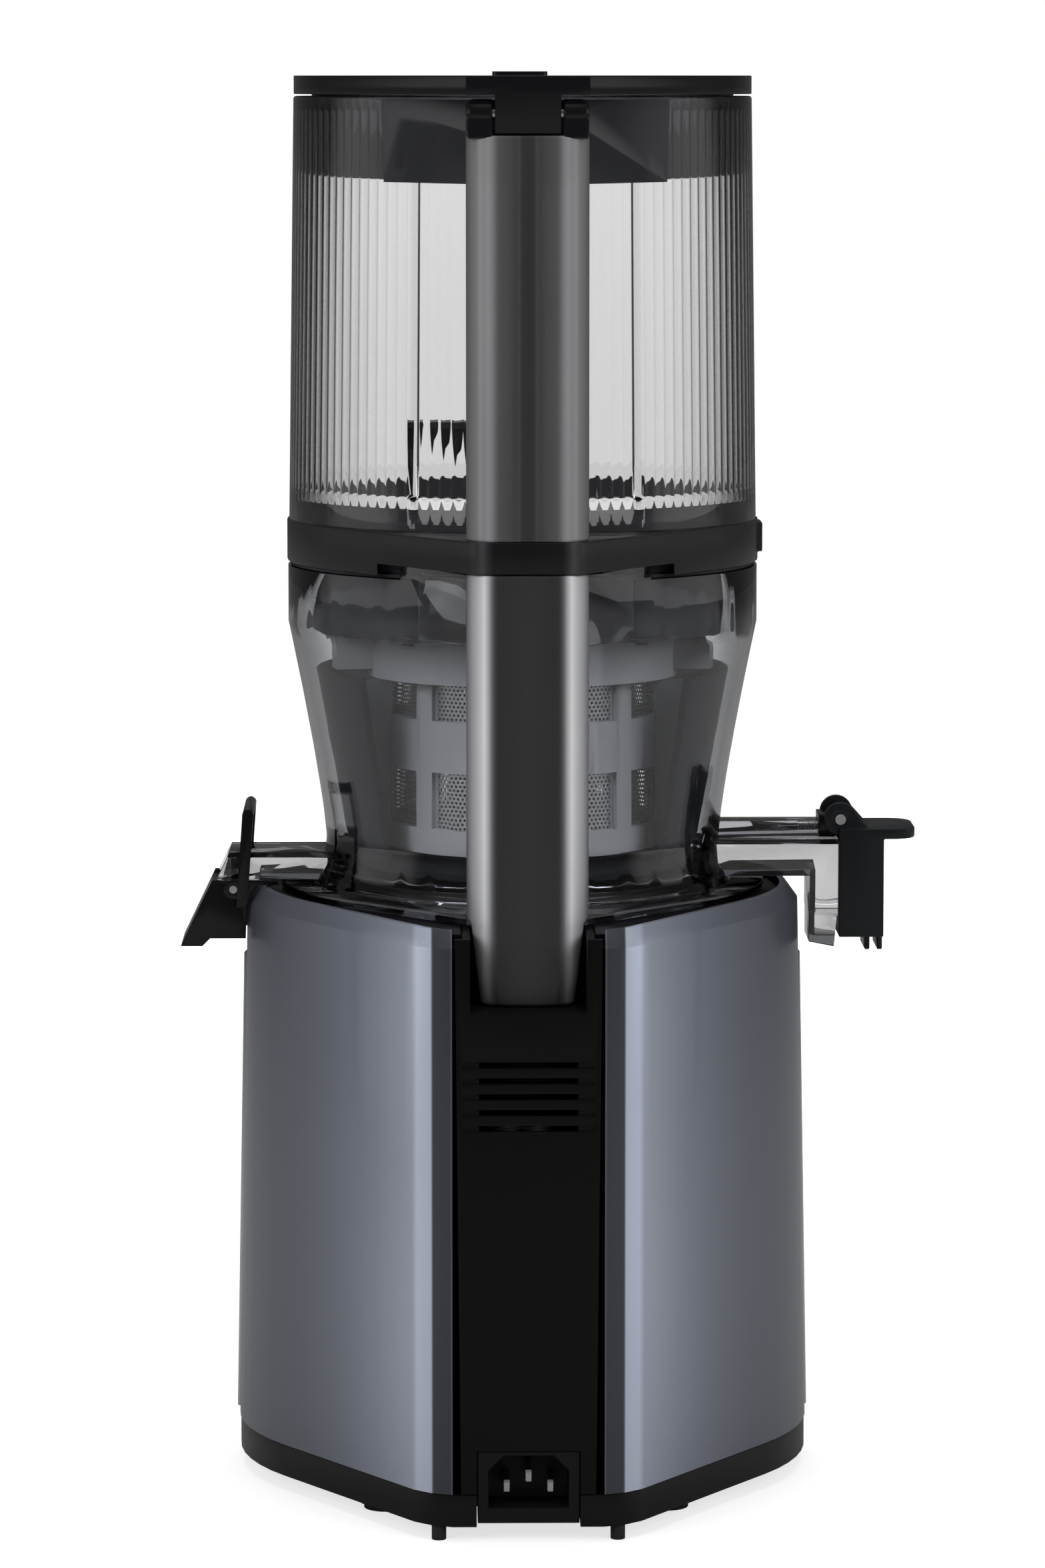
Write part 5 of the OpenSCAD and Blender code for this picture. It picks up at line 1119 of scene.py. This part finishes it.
@dataclass
class Handles:
    """The two frosted handles with the dark ribs inside them, and the knuckles of the lid's hinge.

    Attributes:
        wall_mm: Wall of a handle's hollow section.
        round_mm: Radius of its outer corners.
        deep_mm: Depth of the section towards the machine.
        rim_mm: Rounding of the other edges.
        gap_mm: Gap between a rib and the wall round it.
        hinge_mm: Distance of the upper handle's top below the hinge pin.
        upper_row_mm: Height of the upper handle's middle row above its foot.
        bore_mm: Radius of a knuckle's bore.
        knuckle_mm: Radius of a knuckle.
        knuckle_in_mm: Distance of its inner face from the middle.
        knuckle_edge_mm: Chamfer of its inner face.
        dome_mm: Its domed end, as pairs of distance from its radius and from the handle's side.
        mouth_mm: Widening of the bore at that end, across and along.
        root_mm: How far a knuckle's root stands in from it, sinks into the handle and ends under the pin.
        root_edge_mm: Rounding of the root.
        rib_mm: Half the width of the upper rib.
        rib_ends_mm: Distances of its foot and its top from the handle's ends.
        rib_tip_share: Width of its top as a share of its foot's.
        block_mm: Height of the dark block under the hinge.
        neck_gap_mm: Gap between the lower handle and the spine on each side.
        foot_half_mm: Half the width of the lower handle's foot.
        foot_rise_mm: Height over which the foot widens.
        foot_share: Share of the widening at that height.
        shoulder_mm: Height over which the lower handle widens above the deck.
        lower_row_mm: Height of the lower handle's middle row above the deck.
        lower_end_mm: Distance of the lower rib's ends from the handle's.
        near_mm: How far a rib stays behind the section's front.
        bevel_mm: Depth of a rib's slanted corners.
        bevel_share: Share of a rib's width between them.
        tip_mm: Height over which a pointed rib narrows.
        rib_edge_mm: Rounding of a rib.
    """

    wall_mm: float = 3.0
    round_mm: float = 8.0
    deep_mm: float = 16.0
    rim_mm: float = 0.9
    gap_mm: float = 0.4
    hinge_mm: float = 7.0
    upper_row_mm: float = 30.0
    bore_mm: float = 2.05
    knuckle_mm: float = 4.4
    knuckle_in_mm: float = 11.2
    knuckle_edge_mm: float = 0.5
    dome_mm: tuple = ((0.0, -2.2), (-0.7, -0.9), (-1.8, -0.15))
    mouth_mm: tuple = (0.25, 0.3)
    root_mm: tuple = (0.1, 1.0, 1.6)
    root_edge_mm: float = 0.5
    rib_mm: float = 4.2
    rib_ends_mm: tuple = (8.0, 12.0)
    rib_tip_share: float = 0.45
    block_mm: float = 12.6
    neck_gap_mm: float = 5.4
    foot_half_mm: float = 14.9
    foot_rise_mm: float = 10.0
    foot_share: float = 0.42
    shoulder_mm: float = 2.4
    lower_row_mm: float = 40.0
    lower_end_mm: float = 3.0
    near_mm: float = 0.6
    bevel_mm: float = 1.2
    bevel_share: float = 0.8
    tip_mm: float = 14.0
    rib_edge_mm: float = 0.6

    def section(self, half_w: float, z: float, node: str) -> list[Vector]:
        """Section of a handle with a channel that is open towards the machine.

        Args:
            half_w: Half its width.
            z: Its height.
            node: The solid that it follows.

        Returns:
            The section's points.
        """
        back, front = reach(node)[0].y, self.front(node)
        corner, inner = self.round_mm, self.round_mm - self.wall_mm
        x, y = half_w - corner, back + corner
        outside = arc(corner, 0, -90, (x, y)) + arc(corner, -90, -180, (-x, y))
        inside = arc(inner, -180, -90, (-x, y)) + arc(inner, -90, 0, (x, y))
        loop = [(half_w, front)] + outside + [(-half_w, front), (-half_w + self.wall_mm, front)] + inside
        return [at(px, py, z) for px, py in loop + [(half_w - self.wall_mm, front)]]

    def front(self, node: str) -> float:
        """How far a handle's section reaches towards the machine."""
        return reach(node)[0].y + self.deep_mm

    def upper(self) -> None:
        """Builds the upper handle, its knuckles, its rib and the block under the hinge."""
        low, high = reach("upper_handle")
        half_w = high.x
        ends = reach("lid_hinge_pin")
        pin = (ends[0] + ends[1]) / 2
        top = pin.z - self.hinge_mm
        rows = [self.section(half_w, z, "upper_handle") for z in (low.z, low.z + self.upper_row_mm, top)]
        grip = Bench.loft("upper_handle_grip", rows)
        Bench.round_edges(grip, self.rim_mm, segments=3)
        Bench.finish(grip, HANDLE_CLEAR, "hopper", "clear_plastic", ("upper_handle",))
        self.knuckles(half_w, top, pin.y, pin.z)
        heights = (low.z + self.rib_ends_mm[0], top - self.rib_ends_mm[1])
        self.rib("upper_handle_rib", self.rib_mm, heights, "upper_handle", self.rib_tip_share)
        block = (top - self.gap_mm - self.block_mm, top - self.gap_mm)
        self.rib("hinge_block", half_w - self.wall_mm - self.gap_mm, block, "upper_handle")

    def knuckles(self, half_w: float, top: float, pin_y: float, pin_z: float) -> None:
        """Builds the two knuckles of the hinge.

        Args:
            half_w: Half the handle's width.
            top: Height of the handle's top.
            pin_y: Place of the hinge pin in depth.
            pin_z: Its height.
        """
        bore, radius, inner, edge = self.bore_mm, self.knuckle_mm, self.knuckle_in_mm, self.knuckle_edge_mm
        profile = [(bore, inner), (radius - edge, inner), (radius, inner + edge)]
        profile += [(radius + out, half_w + along) for out, along in self.dome_mm]
        profile += [(bore + self.mouth_mm[0], half_w), (bore, half_w - self.mouth_mm[1])]
        eye = Bench.lathe("hinge_knuckles", profile, steps=48, centre=at(0, pin_y, pin_z), along=Along.X)
        inset, sink, under = self.root_mm
        corners = ((-1, top - sink), (1, top - sink), (1, pin_z - under), (-1, pin_z - under))
        outline = [at(inner, pin_y + side * (radius - inset), z) for side, z in corners]
        root = Bench.prism("knuckle_root", outline, Vector((half_w - inner - self.gap_mm, 0, 0)) * MM)
        Bench.round_edges(root, self.root_edge_mm)
        Bench.joined(eye, [root])
        Bench.copied(eye, [self.mirror()])
        Bench.finish(eye, GLOSS_BLACK, "hopper", "black_plastic")

    def lower(self) -> None:
        """Builds the lower handle and its rib."""
        low, high = reach("lower_handle")
        half_w, deck = high.x, reach("right_panel")[1].z
        spine = reach("spine_cover")
        foot, neck = self.foot_half_mm, (spine[1].x - spine[0].x) / 2 - self.neck_gap_mm
        wider = foot + (neck - foot) * self.foot_share
        stops = [(low.z, foot), (low.z + self.foot_rise_mm, wider), (deck, neck),
                 (deck + self.shoulder_mm, half_w), (deck + self.lower_row_mm, half_w), (high.z, half_w)]
        grip = Bench.loft("lower_handle_grip", [self.section(w, z, "lower_handle") for z, w in stops])
        Bench.round_edges(grip, self.rim_mm, segments=3)
        Bench.finish(grip, GRIP_CLEAR, "chamber", "clear_plastic", ("lower_handle",))
        heights = (low.z + self.lower_end_mm, high.z - self.lower_end_mm)
        self.rib("lower_handle_rib", foot - self.wall_mm - self.gap_mm, heights, "lower_handle")

    def mirror(self) -> Matrix:
        """Mirrors a piece across the middle plane."""
        middle = Matrix.Translation((AXIS.x, 0, 0))
        return middle @ Matrix.Scale(-1, 4, Vector((1, 0, 0))) @ middle.inverted()

    def rib(self, name: str, half_w: float, heights: tuple, node: str, tip: float = 1.0) -> None:
        """Builds a dark rib inside a handle.

        Args:
            name: The piece's name.
            half_w: Half its width.
            heights: Heights of its foot and its top.
            node: The solid of the handle.
            tip: Width of its top as a share of its foot's.
        """
        near = self.front(node) - self.near_mm
        deep = reach(node)[0].y + self.wall_mm + self.gap_mm
        half = [(1, near), (1, deep + self.bevel_mm), (self.bevel_share, deep)]
        outline = half + [(-x, y) for x, y in reversed(half)]
        foot, top = heights
        stops = [(foot, 1.0), (top - self.tip_mm * (1.0 - tip), 1.0), (top, tip)]
        rows = [[at(x * half_w * share, y, z) for x, y in outline] for z, share in stops]
        rib = Bench.loft(name, rows if tip < 1.0 else rows[::2])
        Bench.round_edges(rib, self.rib_edge_mm)
        Bench.finish(rib, CORE_BLACK, body_of_node(node), "dark_moulding")

    def build(self) -> None:
        """Builds both handles."""
        self.upper()
        self.lower()


@dataclass
class Auger:
    """The screw with its two flights and one cutting wing.

    Attributes:
        radius_mm: Radius of the screw.
        core_mm: Radius of the core at its foot.
        neck_mm: Radius of the core at the hopper floor.
        turns: Full turns of a flight.
        wing_turns: Further turns of its wing.
        step: Angle of a step in degrees.
        thick_mm: Thickness of a flight.
        wing_share: Reach of the wing's tip as a share of the screw's.
        root_share: Share by which the flight's root moves in along the wing.
        point_share: Thickness of the wing's tip as a share of the flight's.
        edge_mm: Depth of a flight's eased edge.
        nose_mm: Depth of the edge's blunt part.
        nose_share: Where that part starts, as a share of half the thickness.
        rise_mm: Height of the flights' start above the core's foot.
        drop_mm: Depth of the core's shoulder below the hopper floor's top.
        over_mm: Height of the short flight's tip above that.
        chamfer_mm: Chamfer of the core's foot.
        neck_edge_mm: The shoulder's widening, its inset and its height.
        bore_mm: Radius and depth of the bore in the foot.
        stem_mm: Outline of the stem, as pairs of radius and height over the hopper floor's top.
        tip_mm: Outline of its tip, as pairs of radius and height over the screw's top.
    """

    radius_mm: float = 42.0
    core_mm: float = 26.0
    neck_mm: float = 21.0
    turns: float = 1.5
    wing_turns: float = 0.45
    step: float = 6.0
    thick_mm: float = 4.0
    wing_share: float = 0.80
    root_share: float = 0.7
    point_share: float = 0.5
    edge_mm: float = 1.0
    nose_mm: float = 0.3
    nose_share: float = 0.3
    rise_mm: float = 2.0
    drop_mm: float = 15.0
    over_mm: float = 2.0
    chamfer_mm: float = 0.8
    neck_edge_mm: tuple = (0.5, 1.0, 2.0)
    bore_mm: tuple = (12.0, 21.0)
    stem_mm: tuple = ((9.4, -1.0), (8.4, 2.0))
    tip_mm: tuple = ((7.0, -10.0), (5.4, -6.8), (3.0, -5.0), (0.0, -4.6))

    def flight(self, start: float, foot: float, shoulder: float, tip: float) -> bpy.types.Object:
        """Builds one flight as a ribbon with eased edges.

        Args:
            start: Angle at which the flight starts, in degrees.
            foot: Height of the flight's start.
            shoulder: Height of the core's shoulder.
            tip: Height of the wing's tip.

        Returns:
            The flight.
        """
        rows = []
        main, wing = self.turns * 360, self.wing_turns * 360
        count = int((self.turns + self.wing_turns) * 360 / self.step)
        for i in range(count + 1):
            turn = i * self.step
            over = max(0.0, (turn - main) / wing)
            z = foot + min(1.0, turn / main) * (shoulder - foot) + over * (tip - shoulder - self.thick_mm)
            out = self.radius_mm * (1.0 - over * over * (1.0 - self.wing_share))
            root = self.core_mm / 2 * (1.0 - over * self.root_share)
            thick = self.thick_mm * (self.point_share if i == count else 1.0)
            slant = self.nose_share * thick / 2
            ring = [(root, 0.0), (out - self.edge_mm, 0.0), (out - self.nose_mm, slant), (out, thick / 2),
                    (out - self.nose_mm, thick - slant), (out - self.edge_mm, thick), (root, thick)]
            a = math.radians(start + turn)
            rows.append([at(r * math.cos(a), r * math.sin(a), z + h) for r, h in ring])
        return Bench.loft("auger_screw", rows)

    def build(self) -> None:
        """Builds the screw: two flights, one of them with a wing, joined to a turned core."""
        low, high = reach("auger")
        floor = reach("hopper_floor")[1].z
        shoulder, foot = floor - self.drop_mm, low.z + self.rise_mm
        flight = self.flight(0.0, foot, shoulder, floor + self.over_mm)
        winged = self.flight(180.0, foot, shoulder, high.z)
        (bore, deep), (wider, inset, height) = self.bore_mm, self.neck_edge_mm
        profile = [(bore, low.z), (self.core_mm - self.chamfer_mm, low.z),
                   (self.core_mm, low.z + self.chamfer_mm), (self.neck_mm + wider, shoulder - height),
                   (self.neck_mm - inset, shoulder)]
        profile += [(r, floor + z) for r, z in self.stem_mm] + [(r, high.z + z) for r, z in self.tip_mm]
        core = Bench.lathe("auger_core", profile + [(0.0, low.z + deep), (bore, low.z + deep)])
        Bench.joined(flight, [winged, core])
        Bench.take(flight)
        bpy.ops.object.shade_smooth_by_angle(angle=math.radians(SMOOTH))
        Bench.finish(flight, AUGER_GREY, "screw", slot_of_node("auger"), ("auger",))


@dataclass
class Fittings:
    """Small turned fittings: the ribbed screw and the knob's face.

    Attributes:
        ridges: Ridges along the screw.
        ridge_mm: Height of a ridge.
        lead_share: Where the first ridge starts, as a share of its pitch.
        end_mm: Chamfer of the screw's end.
        rings: Rings of the knob's face.
        ring_pitch_mm: Distance between rings.
        ring_mm: Outline of the first ring, as pairs of radius and height over the knob's front.
        middle_mm: Outline of the face's middle.
        rim_mm: Outline of its rim.
    """

    ridges: int = 9
    ridge_mm: float = 0.28
    lead_share: float = 0.15
    end_mm: float = 0.2
    rings: int = 5
    ring_pitch_mm: float = 1.1
    ring_mm: tuple = ((2.0, -0.25), (2.3, -0.4), (2.8, -0.4), (3.0, -0.25))
    middle_mm: tuple = ((0.0, -0.9), (0.0, -0.25))
    rim_mm: tuple = ((8.2, -0.2), (8.6, -0.35), (8.6, -0.9))

    def screw(self) -> None:
        """Builds the ribbed screw that holds the cap's bracket."""
        low, high = reach("bracket_screw")
        length, radius = high.x - low.x, (high.z - low.z) / 2
        pitch, valley = length / self.ridges, radius - self.ridge_mm
        profile = [(0.0, 0.0), (valley, 0.0)]
        for i in range(self.ridges):
            start = (i + self.lead_share) * pitch
            profile += [(valley, start), (radius, start + pitch / 4), (radius, start + pitch / 2),
                        (valley, start + pitch * 3 / 4)]
        profile += [(valley, length - self.end_mm), (0.0, length)]
        centre = at(low.x, 0.0, (low.z + high.z) / 2)
        screw = Bench.lathe("bracket_ribbed_screw", profile, steps=32, centre=centre, along=Along.X)
        Bench.finish(screw, STEEL, "chamber", "steel", ("bracket_screw",))

    def knob_face(self) -> None:
        """Builds the turned metal face of the knob, with its rings."""
        pivot = joint_place("knob_turn")
        centre = Vector((pivot.x, reach("control_knob")[1].y * MM + AXIS.y, pivot.z))
        rings = [(r + i * self.ring_pitch_mm, h) for i in range(self.rings) for r, h in self.ring_mm]
        profile = [*self.middle_mm, *rings, *self.rim_mm]
        face = Bench.lathe("knob_face", profile, steps=72, centre=centre, along=Along.Y)
        Bench.finish(face, SILVER, "knob", "silver_cover")

    def build(self) -> None:
        """Builds the fittings."""
        self.screw()
        self.knob_face()


@dataclass(frozen=True)
class Lamp:
    """A soft rectangular lamp that faces the object.

    Attributes:
        name: The lamp's name.
        place: Its place in metres.
        size: Its width and height in metres.
        power: Its power in watts.
        aim: The point that it faces, in metres.
    """

    name: str
    place: tuple
    size: tuple
    power: float = 16.0
    aim: tuple = (0.0, 0.0, 0.25)

    def build(self) -> None:
        """Adds the lamp, which leaves no picture of itself on glossy pieces."""
        data = bpy.data.lights.new(self.name, "AREA")
        data.shape = "RECTANGLE"
        data.size, data.size_y = self.size
        data.energy = self.power
        lamp = bpy.data.objects.new(self.name, data)
        lamp.visible_glossy = False
        bpy.context.scene.collection.objects.link(lamp)
        lamp.location = self.place
        lamp.rotation_euler = (Vector(self.aim) - Vector(self.place)).to_track_quat("-Z", "Y").to_euler()


@dataclass
class Studio:
    """Floor, lamps, surround and camera.

    Each field of light is given as where it starts, where it's full, and its strength at both.

    Attributes:
        focal_px: Focal length in pixels of the picture.
        picture_px: Height of the picture in pixels.
        horizon_px: Distance of the horizon above the picture's middle.
        height: Height of the camera above the worktop.
        distance: Distance of the camera from the drive axis.
        yaw: Turn of the camera round the drive axis, in degrees.
        sensor_mm: Height of the sensor.
        above: Light from above, by the height of a direction.
        boxes: Softboxes at the sides, by how far a direction points sideways.
        drops: White backdrops, by how far a direction points to one of the four sides.
        glow: Glow of the floor as the camera sees it, by the distance from the object in metres.
        floor_size: Width of the floor in metres.
        floor_tone: Grey of the floor.
        lamps: The lamps.
    """

    focal_px: float = 9100.0
    picture_px: float = 2352.0
    horizon_px: float = 1066.0
    height: float = 0.467
    distance: float = 2.026
    yaw: float = 0.9
    sensor_mm: float = 36.0
    above: tuple = (0.55, 0.95, 0.0, 0.45)
    boxes: tuple = (0.87, 0.975, 0.10, 0.85)
    drops: tuple = (0.80, 0.945, 0.16, 1.0)
    glow: tuple = (0.15, 1.1, 0.72, 1.0)
    floor_size: float = 14.0
    floor_tone: float = 0.40
    lamps: tuple = (
        Lamp("left fill", (-1.2, -1.3, 1.0), (1.0, 1.0)), Lamp("right fill", (1.2, -1.3, 1.0), (1.0, 1.0)),
        Lamp("top fill", (0.0, 0.3, 1.9), (1.4, 1.4)), Lamp("rear fill", (0.0, 1.4, 1.6), (1.4, 1.0), 12.0),
    )

    def camera(self) -> None:
        """Sets the camera at the photograph's place."""
        tilt, turn = math.atan2(self.horizon_px, self.focal_px), math.radians(self.yaw)
        ahead = Vector((math.sin(turn) * math.cos(tilt), math.cos(turn) * math.cos(tilt), -math.sin(tilt)))
        right = Vector((math.cos(turn), -math.sin(turn), 0.0))
        data = bpy.data.cameras.new("camera")
        data.sensor_fit = "VERTICAL"
        data.sensor_height = self.sensor_mm
        data.lens = self.focal_px / self.picture_px * self.sensor_mm
        camera = bpy.data.objects.new("camera", data)
        bpy.context.scene.collection.objects.link(camera)
        turned = Matrix((right, right.cross(ahead), -ahead)).transposed().to_4x4()
        back = Vector((math.sin(turn), math.cos(turn))) * self.distance
        camera.matrix_world = Matrix.Translation((*(AXIS - back), self.height)) @ turned
        bpy.context.scene.camera = camera

    def straight(self, tree: Tree) -> bpy.types.NodeSocket:
        """Picks the rays that come from the camera, also through clear walls, without any reflection.

        Args:
            tree: The tree.

        Returns:
            The socket that is one for such rays.
        """
        path = tree.add("ShaderNodeLightPath")
        turned = tree.maths("ADD", path.outputs["Glossy Depth"], path.outputs["Diffuse Depth"])
        unturned = tree.maths("LESS_THAN", turned, 0.5)
        through = tree.maths("MULTIPLY", path.outputs["Is Transmission Ray"], unturned)
        return tree.maths("MAXIMUM", path.outputs["Is Camera Ray"], through)

    def world(self) -> None:
        """Sets white backdrops on four sides, two softboxes and a white ground for the camera."""
        bpy.context.scene.world = bpy.data.worlds.new("surround")
        tree = Tree.emptied(bpy.context.scene.world)
        across, deep, up = tree.parts("Generated")
        side, ahead = tree.maths("ABSOLUTE", across), tree.maths("ABSOLUTE", deep)
        above = tree.remap(up, self.above, Ease.SOFT)
        lit = tree.maths("ADD", tree.remap(side, self.boxes, Ease.SOFT), above)
        drops = tree.remap(tree.maths("MAXIMUM", side, ahead), self.drops, Ease.SOFT)
        through = tree.mix(Mix.FLOAT, self.straight(tree), lit, drops)
        direct = tree.add("ShaderNodeLightPath").outputs["Is Camera Ray"]
        seen = tree.mix(Mix.FLOAT, direct, through, 1.0)
        fill = tree.add("ShaderNodeBackground", {"Color": WHITE, "Strength": seen})
        tree.add("ShaderNodeOutputWorld", {"Surface": fill.outputs[0]})

    def floor(self) -> None:
        """Lays a plain pale floor that is white from afar and keeps the object's shadow."""
        Bench.clear_selection()
        bpy.ops.mesh.primitive_plane_add(size=self.floor_size, location=(0.0, 0.0, 0.0))
        floor = bpy.context.object
        floor.name = "floor"
        material = bpy.data.materials.new("pale floor")
        tree = Tree.emptied(material)
        tone = (self.floor_tone, self.floor_tone, self.floor_tone, 1.0)
        matt = tree.add("ShaderNodeBsdfDiffuse", {"Color": tone})
        place = tree.add("ShaderNodeTexCoord").outputs["Object"]
        away = tree.add("ShaderNodeVectorMath", {"Vector": place}, operation="LENGTH")
        rise = tree.remap(away.outputs["Value"], self.glow, Ease.SOFT)
        strength = tree.maths("MULTIPLY", self.straight(tree), rise)
        glow = tree.add("ShaderNodeEmission", {"Color": WHITE, "Strength": strength})
        both = tree.add("ShaderNodeAddShader")
        for source, slot in zip((matt, glow), both.inputs):
            tree.wire(source.outputs[0], slot)
        tree.add("ShaderNodeOutputMaterial", {"Surface": both.outputs[0]})
        floor.data.materials.append(material)

    def build(self) -> None:
        """Builds the studio."""
        bpy.context.scene.view_settings.view_transform = "Standard"
        self.camera()
        self.world()
        self.floor()
        for lamp in self.lamps:
            lamp.build()


def dress_solids() -> None:
    """Gives every solid its finish."""
    for node, obj in frame["nodes"].items():
        obj.data.materials.clear()
        obj.data.materials.append(Paintbox.material(finish_of_node(node)))
        Bench.take(obj)
        bpy.ops.object.shade_smooth_by_angle(angle=math.radians(SOLID_SMOOTH))


def main() -> None:
    """Builds the studio, dresses the solids and models the pieces."""
    logging.basicConfig(level=logging.INFO, format="%(name)s: %(message)s")
    Studio().build()
    dress_solids()
    for part in (Softened(), Hopper(), Handles(), Auger(), Fittings()):
        part.build()
    Bench.clear_selection()
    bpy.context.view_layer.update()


if __name__ == "__main__":
    main()
